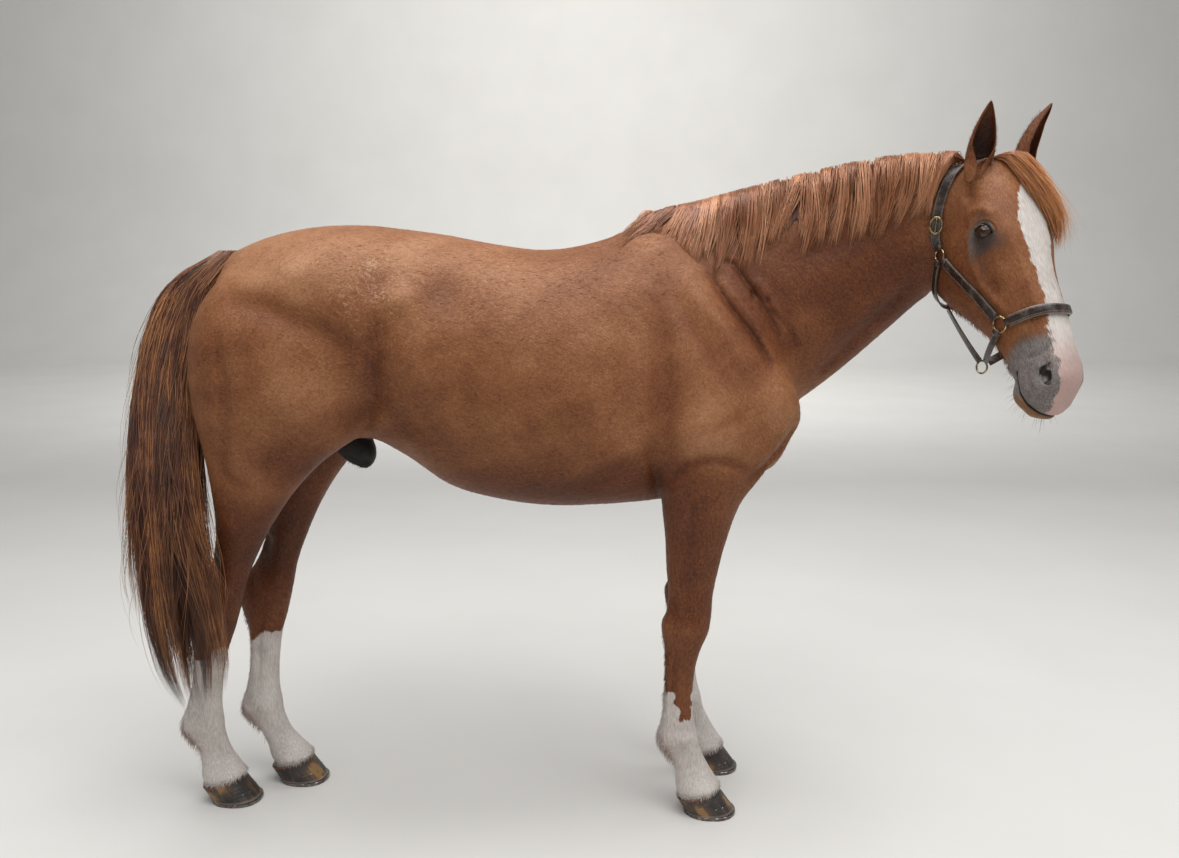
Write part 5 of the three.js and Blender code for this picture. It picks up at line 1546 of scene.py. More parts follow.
@dataclass
class CoatTufts:
    """Short tufts all over the hide, lying along it, so that its outline isn't a hard edge."""

    skin: Skin
    count: int = 49000

    def build(self, material: Material) -> None:
        """Makes the tufts of each side, each a flat spike: longest on the body, shortest on the face and legs."""
        rng = np.random.default_rng(SEED)
        flesh = self.skin.flesh
        for side in Side:

            def weight(p: Array) -> Array:
                lined = sum(ear.inside(p) for ear in self.skin.ears)
                more = 1 + 2.0 * (1 - ease(300, 700, p[:, 2])) + 0.8 * (p[:, 0] > 930)
                return more * (lined < 0.2) * (p[:, 1] * side.value > 0)

            places, normals = self.skin.roots(self.count, rng, weight)
            way = lie(places, normals, flesh, self.skin.ears)
            way = unit(way + 0.12 * unit(rng.normal(size=way.shape)))
            small = np.maximum(ease(930, 980, places[:, 0]), 1 - ease(250, 620, places[:, 2]))
            length = (17 - 10 * small) * rng.uniform(0.6, 1.3, len(places))
            rise = (0.9 - 0.3 * small) * rng.uniform(0.1, 1.0, len(places)) ** 1.5
            tip = places + way * length[:, None] + normals * rise[:, None]
            paths = np.stack([places - 0.25 * normals, tip], axis=1)
            marks = self.skin.marks.at(places)
            shape = locks(paths, length * 0.05 + 0.1, normals, flesh, rng.random(len(places)), 0.3, marks)
            put(f"coat_tufts_{side.name.lower()}", shape, material, "coat", flat=True, bake_map=True)


@dataclass
class Fringe:
    """Longer hair: behind the fetlocks and cannons, over the coronets, in the ears, on the chin, under the jaw."""

    skin: Skin

    def tufts(self, name: str, places: Array, normals: Array, way: Array, length: Array, lift: float, width: float,
              material: Material, seed: int, bend: Array | float = 0.0) -> None:
        """Puts curved tufts at places.

        Args:
            name: the piece's name.
            places: their roots.
            normals: outward directions at the roots.
            way: the way each lies.
            length: each tuft's length.
            lift: how far it stands off the hide, for its length.
            width: half its width at the root.
            material: its finish.
            seed: picks its small differences.
            bend: the way its tip turns, such as down.
        """
        rng = np.random.default_rng(seed)
        u = np.linspace(0, 1, 5)[None, :, None]
        way = unit(way + 0.2 * rng.normal(size=way.shape))
        out = normals[:, None] * lift * rng.uniform(0.5, 1.5, (len(places), 1, 1))
        reach = length[:, None, None] * (way[:, None] * u + out * u * (1.3 - u) + bend * u**2)
        paths = places[:, None] + reach - 0.5 * normals[:, None]
        marks = self.skin.marks.at(places)
        shades = rng.random(len(places))
        shape = locks(paths, np.full(len(places), width), normals, self.skin.flesh, shades, 0.6, marks)
        put(name, shape, material, "coat", bake_map=True)

    @staticmethod
    def on_legs(near: Callable[[Leg, Array], Array]) -> Callable[[Array], Array]:
        """How thickly hair stands at places on the legs, by what one leg says of its own quarter."""
        return lambda p: sum(near(leg, p) * leg.mine(p) for leg in LEGS)

    def in_ears(self, p: Array) -> Array:
        """How thickly hair stands inside the ears: less towards their tips."""
        ears = self.skin.ears
        return sum(ear.inside(p) * (1 - 0.6 * ease(0.5, 0.9, (p - ear.root) @ ear.axis / ear.length)) for ear in ears)

    def on_chin(self, p: Array) -> Array:
        """How thickly whiskers stand on the chin and muzzle."""
        s, _, out = self.skin.flesh.head.local(p).T
        chin = ease(500, 530, s) * (1 - ease(0, 6, out + 125))
        return (p[:, 0] > 940) * (chin + 0.25 * ease(570, 600, s) * (out < -70))

    def on_jaw(self, p: Array) -> Array:
        """How thickly hair stands under the jaw."""
        head = self.skin.flesh.head
        s, _, out = head.local(p).T
        low = head.look_up(s)[:, LOW]
        return (p[:, 0] > 930) * (p[:, 2] > 1080) * (s > 120) * (s < 520) * bell((out, low, 14))

    def up_ears(self, p: Array, n: Array) -> Array:
        """The way hair lies inside the nearer ear."""
        first, second = self.skin.ears
        nearer = np.linalg.norm(p - first.root, axis=1) < np.linalg.norm(p - second.root, axis=1)
        return np.where(nearer[:, None], first.axis, second.axis) + 0.5 * n

    def build(self, coat: Material, bristle: Material) -> None:
        """Makes every fringe."""
        rng = np.random.default_rng(SEED + 1)
        down = np.array([0, 0, -1.0])
        behind_fetlock = self.on_legs(lambda leg, p: bell((leg.behind(p), 4, 15), (p[:, 2], 205, 42)))
        over_coronet = self.on_legs(lambda leg, p: (p[:, 2] < 160) * bell((leg.above_coronet(p), 7, 6)))
        behind_cannon = self.on_legs(
            lambda leg, p: bell((leg.behind(p), 3, 9)) * ease(230, 270, p[:, 2]) * (1 - ease(470, 540, p[:, 2]))
        )
        # name, how many, where, lie, shortest, longest, lift, half width, finish, seed, bend
        for name, count, where, lies, short, long, *rest in (
            ("fetlock_hair", 2600, behind_fetlock, lambda p, n: down + 0.35 * n, 8, 21, 0.16, 0.9, coat, 5,
             0.25 * down),
            ("coronet_hair", 3600, over_coronet, lambda p, n: down + 0.3 * n, 9, 16, 0.2, 0.8, coat, 6),
            ("leg_back_hair", 2200, behind_cannon, lambda p, n: down + 0.25 * n, 8, 16, 0.2, 0.7, coat, 7),
            ("ear_hair", 1500, self.in_ears, self.up_ears, 7, 15, 0.2, 0.5, coat, 8),
            ("muzzle_whiskers", 90, self.on_chin, lambda p, n: n + 0.5 * down, 14, 34, 0.1, 0.35, bristle, 9,
             0.3 * down),
            ("jaw_hair", 1500, self.on_jaw, lambda p, n: lie(p, n, self.skin.flesh) + 0.4 * n, 8, 17, 0.3, 0.7,
             coat, 10),
        ):
            places, normals = self.skin.roots(count, rng, where)
            self.tufts(name, places, normals, lies(places, normals), rng.uniform(short, long, count), *rest)


@dataclass
class Eyes:
    """Both eyeballs, with their lashes."""

    flesh: Flesh
    radius: float = EYE_RADIUS

    def build(self, material: Material, lash: Material) -> None:
        """Makes a ball with a swelled cornea for each side: r = radius (1 + 0.05 inside 35 degrees of its axis)."""
        head = self.flesh.head
        for hand, word in ((1, "right"), (-1, "left")):
            turn, rise = np.meshgrid(circle(48), np.radians(np.linspace(1, 179, 32)), indexing="ij")
            flip = np.array([1, hand, 1.0])
            ahead, long, tall = EYE_OUT * flip, EYE_LONG * flip, EYE_TALL * flip
            swell = self.radius * (1 + 0.045 * np.exp(-((rise / np.radians(32)) ** 2)))
            way = np.cos(rise)[..., None] * ahead + np.sin(rise)[..., None] * (
                np.cos(turn)[..., None] * long + np.sin(turn)[..., None] * tall
            )
            grid = head.world((EYE * flip + swell[..., None] * way).reshape(-1, 3)).reshape(*turn.shape, 3)
            shape = outwards(tube(np.transpose(grid, (1, 0, 2))))
            rest = head.local(shape.points) - EYE * flip
            a, b = rest @ long, rest @ tall
            pupil = np.hypot(a / 9.0, b / 4.6)
            iris = np.hypot(a / 19.5, b / 17.0)
            shape.marks["iris"] = np.clip(0.5 * ease(0.85, 1.1, pupil) + 0.5 * ease(0.85, 1.15, iris), 0, 1)
            put(f"eyeball_{word}", shape, material, "eye", f"eye_{word}")
            self.lashes(hand, word, lash)

    def lashes(self, hand: int, word: str, material: Material) -> None:
        """Makes the upper lid's lashes: they leave its edge outwards and bend down."""
        rng = np.random.default_rng(SEED + 20 + hand)
        count = 46
        flip = np.array([1, hand, 1.0])
        a = rng.uniform(-17, 20, count)
        tall = 15.0 * (1 - (a / 22) ** 2)
        out = np.sqrt(np.maximum((self.radius + 2.6) ** 2 - a**2 - tall**2, 4))
        root = EYE + a[:, None] * EYE_LONG + tall[:, None] * EYE_TALL + out[:, None] * EYE_OUT
        u = np.linspace(0, 1, 5)[None, :, None]
        reach = rng.uniform(9, 17, count)[:, None, None]
        fan = (a / 40)[:, None, None] * EYE_LONG
        paths = root[:, None] + reach * (u * (EYE_OUT + 0.25 * EYE_TALL + fan) - 0.55 * u**2 * EYE_TALL)
        paths = self.flesh.head.world((paths * flip).reshape(-1, 3)).reshape(count, 5, 3)
        normals = np.tile((EYE_TALL * flip) @ self.flesh.head.axes, (count, 1))
        shape = locks(paths, np.full(count, 0.45), normals, self.flesh, rng.random(count), 0.8)
        put(f"lashes_{word}", shape, material, "dark_skin", bake_map=True)


def under_layer(name: str, shape: Shape, shade: Array, hair: Material, slot: str, node: str) -> None:
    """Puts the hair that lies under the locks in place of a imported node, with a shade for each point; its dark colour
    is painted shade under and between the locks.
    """
    shape.marks = {"shade": shade, "along": np.zeros(len(shade))}
    put(name, shape, hair, slot, node)


def arc(start: Array, bend: Array, end: Array, count: int) -> tuple[Array, Array]:
    """Places on a curve that leaves start and reaches end, pulled towards bend, and their shares of the way."""
    t = np.linspace(0, 1, count)[:, None]
    return start * (1 - t) ** 2 + 2 * bend * t * (1 - t) + end * t**2, t


def slab(grid: Array, thickness: Array) -> Shape:
    """A closed thin sheet over a grid of points: the grid moved half its thickness each way along its normals.

    Args:
        grid: rows by columns by 3.
        thickness: for each row.
    """
    down, along = np.gradient(grid, axis=0), np.gradient(grid, axis=1)
    normal = unit(np.cross(down, along)) * (thickness / 2)[:, None, None]
    rings = np.concatenate([grid + normal, (grid - normal)[:, ::-1]], axis=1)
    rows, size = rings.shape[:2]
    k = np.arange(size // 2 - 1)
    end = np.stack([k, k + 1, size - 2 - k, size - 1 - k], axis=1)
    shape = sheet(rings, closed_v=True)
    return Shape(shape.points, np.vstack([shape.faces, end, end[:, ::-1] + (rows - 1) * size]))


@dataclass
class Mane:
    """The mane: it rises from the crest and falls in ragged clumps down the right side of the neck."""

    flesh: Flesh
    first: float = 172.0
    last: float = 958.0
    drop: float = 188.0
    count: int = 3900
    start: float = 0.46 * np.pi

    def __post_init__(self) -> None:
        """Tabulates the angle round the neck at each way down from the crest."""
        self.xs = np.linspace(self.first - 60, self.last + 20, 160)
        self.downs = np.arange(-24, 262, 3.0)
        angles = self.start - 0.4 + 0.02 * np.arange(190)
        x, angle = np.meshgrid(self.xs, angles, indexing="ij")
        p = self.flesh.neck.surface(x.ravel(), angle.ravel()).reshape(*x.shape, 3)
        steps = np.linalg.norm(np.diff(p, axis=1), axis=2)
        run = np.concatenate([np.zeros((len(self.xs), 1)), np.cumsum(steps, axis=1)], axis=1)
        run = run - run[:, 20:21]
        self.angles = np.stack([np.interp(self.downs, row, angles) for row in run])

    def place(self, x: Array, down: Array) -> Array:
        """Points of the neck a given way down from the crest on its right side."""
        i = np.clip((x - self.xs[0]) / (self.xs[1] - self.xs[0]), 0, len(self.xs) - 1.001)
        j = np.clip((down - self.downs[0]) / 3.0, 0, len(self.downs) - 1.001)
        a, b, u, v = i.astype(int), j.astype(int), i % 1, j % 1
        t = self.angles
        angle = (t[a, b] * (1 - v) + t[a, b + 1] * v) * (1 - u) + (t[a + 1, b] * (1 - v) + t[a + 1, b + 1] * v) * u
        return self.flesh.neck.surface(x, angle)

    @staticmethod
    def behind_strap(x: Array, down: Array, gap: Array | float) -> Array:
        """Places along the neck kept a gap behind the crown strap, which leans back as it comes down."""
        return np.minimum(x, np.interp(down, (0, 30, 70, 120, 220), (958, 918, 886, 868, 862)) - gap)

    def length(self, x: Array) -> Array:
        """How long the mane is at places along the neck."""
        along = np.clip((x - self.first) / (self.last - self.first), 0, 1)
        return self.drop * (0.76 + 0.26 * np.sin(np.pi * along**0.8)) * (0.55 + 0.45 * ease(0, 0.16, along))

    def build(self, hair: Material, under: Material) -> None:
        """Makes the under layer, dark as painted shade between the clumps, and the locks."""
        rng = np.random.default_rng(SEED + 40)
        columns = np.linspace(self.first + 96, self.last, 150)
        ragged = 0.66 + 0.07 * np.sin(columns / 17) + 0.05 * np.sin(columns / 6.3 + 1)
        share = np.linspace(0, 1, 12)[:, None]
        down = -6 + (self.length(columns) * ragged + 6) * share
        x = self.behind_strap(columns - 44 * share, down, 12 * (1 - columns / self.last))
        grid = self.flesh.settle(self.place(x.ravel(), down.ravel()), 1.6, 4).reshape(12, 150, 3)
        layer = outwards(slab(grid, np.full(12, 1.6)))
        shade = 0.15 + 0.25 * waves(layer.points * [1, 1, 0.3], 14, 8)
        under_layer("mane_under", layer, shade, under, "mane_hair", "mane")

        count = self.count
        x0 = rng.uniform(self.first, self.last, count)
        x0 = np.where((x0 < 290) & (rng.random(count) < 0.6), rng.uniform(290, self.last, count), x0)
        centres = np.sort(np.random.default_rng(SEED + 43).uniform(self.first - 5, self.last + 5, 74))
        clump = np.clip(np.searchsorted(centres, x0 + rng.normal(0, 7, count)), 0, 73)
        own = np.random.default_rng(SEED + 41).random((74, 5))[clump]
        layer_ = rng.random(count)
        u = np.linspace(0, 1, 9)[None, :]
        reach = self.length(x0) * (0.76 + 0.48 * own[:, 0]) * rng.uniform(0.6, 1.1, count)
        begin = rng.uniform(-10, 7, count)
        swept = (22 + 66 * own[:, 1] + 50 * (1 - ease(200, 330, x0)))[:, None]
        middle = centres[clump][:, None]
        x = x0[:, None] + (0.1 + 0.8 * own[:, 4:]) * (middle - x0[:, None]) * u**1.3 - swept * u**1.4
        x = x + 5 * np.sin(5.5 * u + 6.28 * own[:, :1] + 0.8 * rng.normal(size=(count, 1))) * u
        down = begin[:, None] + reach[:, None] * u
        x = self.behind_strap(x, down, rng.uniform(2, 16, (count, 1)))
        spread = 4.5 + 10.5 * layer_[:, None] * np.sin(np.pi * (0.16 + 0.80 * u))
        swollen = 2 + 15 * own[:, 2:3] * (0.4 + 0.6 * layer_[:, None])
        spread = spread + swollen * np.sin(np.pi * np.clip(1.5 * u + 0.12, 0, 1))
        points = self.place(x.ravel(), down.ravel())
        paths = self.flesh.settle(points, spread.ravel(), 3).reshape(count, 9, 3)
        normals = unit(self.flesh.slope(paths[:, 3])[1])
        shade = 0.76 * own[:, 3] ** 1.3 + 0.3 * rng.random(count) - 0.08 + 0.12 * layer_
        shade = shade - 0.14 * (1 - ease(200, 330, x0)) - 0.12 * (begin > 2)
        shape = locks(paths, rng.uniform(0.9, 1.9, count), normals, self.flesh, shade)
        put("mane_locks", shape, hair, "mane_hair", bake_map=True)
        self.strays(hair)

    def strays(self, hair: Material) -> None:
        """Makes single hairs that stand off the crest, the poll and the withers."""
        rng = np.random.default_rng(SEED + 42)
        count = 420
        ranges = (self.first, self.last, 300), (900, 950, 80), (150, 230, 40)  # crest, poll, withers
        x0 = np.concatenate([rng.uniform(*each) for each in ranges])
        root = self.flesh.settle(self.place(x0, rng.uniform(-14, 4, count)), 5.0, 2)
        u = np.linspace(0, 1, 7)[None, :, None]
        size = rng.uniform(22, 60, (count, 1, 1))
        way = unit(np.array([-0.55, -0.35, 0.75]) + 0.35 * rng.normal(size=(count, 3)))[:, None]
        paths = root[:, None] + size * (way * u + np.array([-0.35, -0.45, -0.95]) * u**2)
        normals = np.tile([0.3, 0.1, 1.0], (count, 1))
        shape = locks(paths, rng.uniform(0.35, 0.6, count), unit(normals), self.flesh, 0.4 + 0.4 * rng.random(count), 0.9)
        put("mane_strays", shape, hair, "mane_hair", bake_map=True)


@dataclass
class Forelock:
    """The forelock: hair from between the ears, swept smoothly over the left of the forehead to a point."""

    flesh: Flesh
    count: int = 1500
    length: float = 276.0

    def paths(self, across: Array, layer: Array, reach: Array, places: int) -> Array:
        """Lines of hair, by how far across (-1 to 1), how deep in the lock (-1 to 1) and how far they reach."""
        head = self.flesh.head
        fall = reach[:, None] * np.linspace(0, 1, places)[None, :]
        a = across[:, None]
        l = 6 - 64 * a * (1 - 0.5 * fall) - 92 * fall
        s = -30 + (self.length + 16) * fall * (0.94 + 0.06 * a)
        thick = 26 * (1.1 - 0.85 * np.clip(fall, 0, 1.08))
        rise = 9 + 17 * np.sin(np.pi * np.clip(fall, 0.001, 1)) ** 0.8 - 5 * a**2
        rise = (rise * (0.6 + 0.4 * layer[:, None]) + 0.34 * thick * layer[:, None]) * ease(-0.03, 0.2, fall)
        points = head.world(np.stack([s, l, 30 - 16 * (1 - ease(0, 0.15, fall)) + 0 * s], axis=-1).reshape(-1, 3))
        settled = self.flesh.settle(points, np.maximum(rise, 1.0).ravel(), 5)
        return settled.reshape(len(across), places, 3)

    def build(self, hair: Material, under: Material) -> None:
        """Makes the under layer, dark as painted shade under the locks, and the locks."""
        rng = np.random.default_rng(SEED + 60)
        columns = np.linspace(-0.92, 0.92, 26)
        grid = self.paths(columns, np.full(26, -0.35), np.full(26, 0.93) - 0.12 * columns**2, 22)
        layer = outwards(slab(grid.transpose(1, 0, 2), np.linspace(7, 2, 22)))
        shade = 0.35 + 0.2 * waves(layer.points, 24, 9)
        under_layer("forelock_under", layer, shade, under, "mane_hair", "forelock")
        count = self.count
        across = rng.uniform(-1, 1, count)
        clump = np.round(across * 6 + 0.3 * rng.normal(size=count))
        depth = 2 * np.sqrt(rng.random(count)) - 1
        own = np.random.default_rng(SEED + 61).random((40, 3))[(clump + 9 * np.round(1.6 * depth)).astype(int) % 40]
        reach = (0.7 + 0.38 * own[:, 0]) * rng.uniform(0.8, 1.06, count) - 0.1 * across**2
        lift = np.clip(0.6 * depth + 1.3 * (own[:, 2] - 0.5), -1, 1.2)
        lines = self.paths(across, lift, reach, 11)
        near = self.paths(clump / 6 + 0.2 * (own[:, 0] - 0.5), lift, reach, 11)
        u = np.linspace(0, 1, 11)[None, :, None]
        lines = lines + (near - lines) * 0.75 * u**0.9
        lines = lines + 8 * rng.normal(size=(count, 1, 3)) * u**2
        normals = unit(self.flesh.slope(lines[:, 4])[1])
        shade = 0.95 * own[:, 1] ** 1.4 + 0.4 * rng.random(count) + 0.1 * depth - 0.12
        shape = locks(lines, rng.uniform(0.9, 1.9, count), normals, self.flesh, shade)
        put("forelock_locks", shape, hair, "mane_hair", bake_map=True)
        wisps = 120
        a = rng.uniform(-1, 0.5, wisps)
        lines = self.paths(a, rng.uniform(0.7, 1.6, wisps), rng.uniform(0.8, 1.12, wisps), 11)
        stray = 0.35 * rng.normal(size=(wisps, 1, 3)) + [1.1, -0.3, -0.1]
        lines = lines + stray * 36 * u**2.6 * rng.uniform(0.1, 1, (wisps, 1, 1))
        normals = unit(self.flesh.slope(lines[:, 4])[1])
        shape = locks(lines, np.full(wisps, 0.8), normals, self.flesh, 0.5 + 0.4 * rng.random(wisps))
        put("forelock_wisps", shape, hair, "mane_hair", bake_map=True)


@dataclass
class Tail:
    """The tail: a short-haired dock inside long hair that falls straight and thick, thinning to ragged points."""

    flesh: Flesh
    count: int = 5600
    dock_end: float = 1120.0

    def line(self, z: Array, angle: Array, share: Array) -> Array:
        """Points inside the tail: on its sections at heights z, a share of the way out at an angle."""
        q = self.flesh.tail.look_up(z.ravel())
        middle = np.stack([q[:, WIDE], q[:, ASIDE], z.ravel()], axis=1)
        edge = self.flesh.tail.surface(z.ravel(), angle.ravel())
        return (middle + (edge - middle) * share.ravel()[:, None]).reshape(*z.shape, 3)

    def build(self, hair: Material, under: Material) -> None:
        """Makes the inner mass, dark as painted shade inside the tail, and the locks round it."""
        rng = np.random.default_rng(SEED + 80)
        turn = circle(40)[None, :]
        z = np.linspace(1544, 640, 40)[:, None] + 0 * turn
        thin = np.interp(z, [640, 800, 1000, 1300, 1500, 1544], [0.1, 0.4, 0.62, 0.74, 0.78, 0.7])
        thin = thin * (1 + 0.07 * np.sin(9 * turn) + 0.04 * np.sin(23 * turn + z / 60))
        core = outwards(tube(self.line(z, turn + 0 * z, thin)))
        shade = 0.12 + 0.15 * waves(core.points * [1, 1, 0.12], 22, 14)
        under_layer("tail_core", core, shade, under, "tail_hair", "tail")
        count = self.count
        tress = rng.integers(0, 64, count)
        own = np.random.default_rng(SEED + 81).random((64, 5))
        mine = own[tress]
        angle0 = 2 * np.pi * mine[:, 0] + 0.34 * rng.normal(size=count)
        top = 1546 - (1546 - self.dock_end) * rng.random(count) ** 1.5
        low = 322 + 330 * mine[:, 1] ** 1.5 + 210 * rng.random(count) ** 2.2
        short = rng.random(count) < 0.16
        low = np.where(short, top - rng.uniform(180, 520, count), low)
        u = np.linspace(0, 1, 12)[None, :]
        z = top[:, None] + (low - top)[:, None] * u
        gather = ease(0.1, 1.0, u)
        angle = angle0[:, None] + (2 * np.pi * mine[:, 0] - angle0)[:, None] * 0.86 * gather
        angle = angle + 0.16 * np.sin(4.2 * u + 6.28 * mine[:, 2:3]) + 0.06 * np.sin(9 * u + 6.28 * rng.random((count, 1)))
        out = np.clip(0.55 + 0.42 * np.sqrt(rng.random(count)), 0, 0.98)[:, None]
        end = (0.35 + 0.62 * mine[:, 3:4]) * (0.8 + 0.3 * rng.random((count, 1)))
        share = out * (1 - gather) + np.minimum(end, 0.99) * gather
        share = np.where(u < 0.25, 0.78 + (share - 0.78) * (u / 0.25), share)
        paths = self.line(z, angle, share)
        forward = np.clip(np.sin(angle) + 0.2, 0, 1)
        paths[..., 0] += 62 * (1 - ease(470, 840, z)) * forward * (0.35 + 0.65 * mine[:, 3:4])
        normals = unit(paths - self.line(z, angle, 0 * share))
        # painted highlight: the outer locks at the tail's front and back, its edges seen from the side, are paler
        outer = np.clip((share.mean(axis=1) - 0.5) * 1.6, 0, 1)
        edge_highlight = 0.2 + 0.8 * np.cos(angle0 - np.radians(95)) ** 4
        dock = 1 - ease(1380, 1500, top)
        shade = 0.4 * mine[:, 4] ** 1.8 + 0.22 * rng.random(count) ** 1.6 + 0.2 * outer * edge_highlight
        shade = shade + 0.36 * (1 - dock) * (0.4 + 0.6 * rng.random(count))
        shape = locks(paths, rng.uniform(0.9, 2.1, count), normals, self.flesh, shade)
        faces = len(shape.faces) // 2 // (count // 2) * (count // 2)
        for name, pick in (("tail_locks_a", slice(0, faces)), ("tail_locks_b", slice(faces, None))):
            f = shape.faces[pick]
            first, last = f.min(), f.max() + 1
            marks = {mark: values[first:last] for mark, values in shape.marks.items()}
            part = Shape(shape.points[first:last], f - first, marks, shape.uv[pick])
            put(name, part, hair, "tail_hair", bake_map=True)
        self.strays(hair)

    def strays(self, hair: Material) -> None:
        """Makes single hairs that stray from the tail, behind it and at its tip."""
        rng = np.random.default_rng(SEED + 82)
        count = 260
        top = rng.uniform(700, 1500, count)
        low = np.maximum(top - rng.uniform(160, 420, count), 335)
        u = np.linspace(0, 1, 9)[None, :]
        z = top[:, None] + (low - top)[:, None] * u
        angle = rng.uniform(0, 2 * np.pi, count)[:, None] + 0.5 * u
        share = 0.85 + (rng.uniform(0.05, 0.34, count)[:, None]) * np.sin(np.pi * u * 0.8) ** 1.5
        paths = self.line(z, angle, share)
        normals = unit(paths - self.line(z, angle, 0 * share))
        shape = locks(paths, rng.uniform(0.4, 0.7, count), normals, self.flesh, 0.35 + 0.5 * rng.random(count), 0.9)
        put("tail_strays", shape, hair, "tail_hair", bake_map=True)


@dataclass
class Hoof:
    """One hoof and its shoe: a leaning wall under the coronet, and a flat bar nailed round its edge."""

    leg: Leg
    tan: tuple[tuple[float, float, float, float], ...] = ()  # turn, height share, size, strength of paler patches
    shoe_height: float = 9.0
    bar: float = 22.0

    def outline(self, z: Array, angle: Array, inset: float = 0.0, opened: float = 0.0) -> Array:
        """Points of the leaning outline: a superellipse whose back, front and width shrink with height."""
        heel, side = self.leg.heel
        back = heel - z * 0.63 - opened
        front = heel + 138 - z * 0.7 - inset
        half = 63 + (52 - 63) * z / 110 - inset
        wide = back + (front - back) * 0.56
        c, s = np.cos(angle), np.sin(angle)
        power = 2 / np.where(s >= 0, 2.1, 2.4)
        x = wide + np.where(s >= 0, front - wide, wide - back) * np.sign(s) * np.abs(s) ** power
        y = side + half * np.sign(c) * np.abs(c) ** power
        return np.stack(np.broadcast_arrays(x, y, z), axis=-1)

    def wall(self) -> Shape:
        """The horn: its rings rise to the sloping coronet, bulge there, and turn in; its sole is hollow."""
        angle = circle(96)[None, :]
        slope = np.tan(np.arctan2(88 - 46, 138))
        top = np.full_like(angle, 60.0)
        for _ in range(8):
            top = 46 + (self.outline(top, angle)[..., 0] - self.leg.heel[0] + 30) * slope
        share = np.concatenate([[0, 0.02, 0.05], np.linspace(0.09, 1, 30)])[:, None]
        z = self.shoe_height + 0.5 + (top - self.shoe_height - 0.5) * share
        grid = self.outline(z, angle)
        middle = grid.mean(axis=1, keepdims=True)
        away = unit((grid - middle) * [1, 1, 0])
        rings = 0.45 * np.sin(share * 44 + 0.7 * np.sin(angle * 2)) * (share < 0.9)
        ripple = rings - 1.2 * (share < 0.01) + 1.1 * np.exp(-(((share - 0.95) / 0.04) ** 2)) - 0.8
        grid = grid + away * ripple[..., None]
        rim = [grid[-1] - away[-1] * inset - np.array([0, 0, drop]) for inset, drop in ((3, 0.6), (9, 5), (20, 9))]
        sole = [grid[0] - away[0] * inset + np.array([0, 0, rise]) for inset, rise in ((22, 5), (12, 0.8))]
        shape = outwards(tube(np.concatenate([np.stack(sole), grid, np.stack(rim)])))
        up = np.concatenate([[0, 0], share[:, 0], [1, 1, 1]])
        turns = np.tile(angle[0] / (2 * np.pi), len(up))
        tan = np.zeros(len(turns))
        ups = np.repeat(up, 96)
        for turn, height, size, strength in self.tan:
            tan += strength * np.exp(-(((turns - turn) / size) ** 2) - ((ups - height) / 0.33) ** 2)
        pad = lambda values, a, b: np.concatenate([values, [a, b]])
        shape.marks = {"up": pad(ups, 0, 1), "turn": pad(np.abs(turns * 2 - 1), 0, 0), "tan": pad(tan, 0, 0)}
        return shape

    def shoe(self) -> Shape:
        """The bar: a rounded section between the outline and an inner outline, round from heel to heel."""
        angle = np.linspace(-0.445 * np.pi, 1.445 * np.pi, 90)
        section = np.array([
            (0, 0.8), (0.06, 0), (0.40, 0), (0.44, 1.6), (0.56, 1.6), (0.60, 0), (0.94, 0), (1, 0.8), (1, 8.2),
            (0.94, 9), (0.06, 9), (0, 8.2),
        ])
        outer, inner = self.outline(0 * angle + 4.5, angle, 0.3), self.outline(0 * angle + 4.5, angle, self.bar, 6.0)
        ring = outer[:, None] + (inner - outer)[:, None] * section[None, :, :1]
        ring[..., 2] = section[None, :, 1]
        return outwards(tube(ring))

    def clinches(self) -> Shape:
        """The nails' turned-over ends: three low pads on each side of the wall."""
        angles = np.array([0.10, 0.22, 0.34, 0.66, 0.78, 0.90]) * np.pi
        at = self.outline(np.full(6, 30.0) + 3 * np.sin(angles), angles)
        middle = self.outline(np.full(6, 32.0), np.linspace(0, 2 * np.pi, 6)).mean(axis=0)
        out = unit((at - middle) * [1, 1, 0])
        up = unit(np.array([-0.5, 0, 1]) + 0 * out)
        across = np.cross(up, out)
        corners = (-1, -1), (1, -1), (1, 1), (-1, 1)
        layers = [[[x * 2.2 * k, y * 1.8 * k, h] for x, y in corners] for k, h in ((1, -1.5), (1, 0.0), (0.6, 0.7))]
        pad = sheet(np.array(layers), closed_v=True)
        pad = Shape(pad.points, np.vstack([pad.faces, [[0, 3, 2, 1], [8, 9, 10, 11]]]))
        return outwards(many(pad, np.stack([across, up, out], axis=1), at))

    def build(self, horn: Material, steel: Material) -> None:
        """Makes the hoof, its shoe and the nails' ends."""
        put(f"hoof_wall_{self.leg.name}", self.wall(), horn, "hoof_horn", f"hoof_{self.leg.name}")
        put(f"horseshoe_{self.leg.name}", self.shoe(), steel, "shoe_steel", f"shoe_{self.leg.name}", flat=True)
        put(f"nail_ends_{self.leg.name}", self.clinches(), steel, "shoe_steel", flat=True)


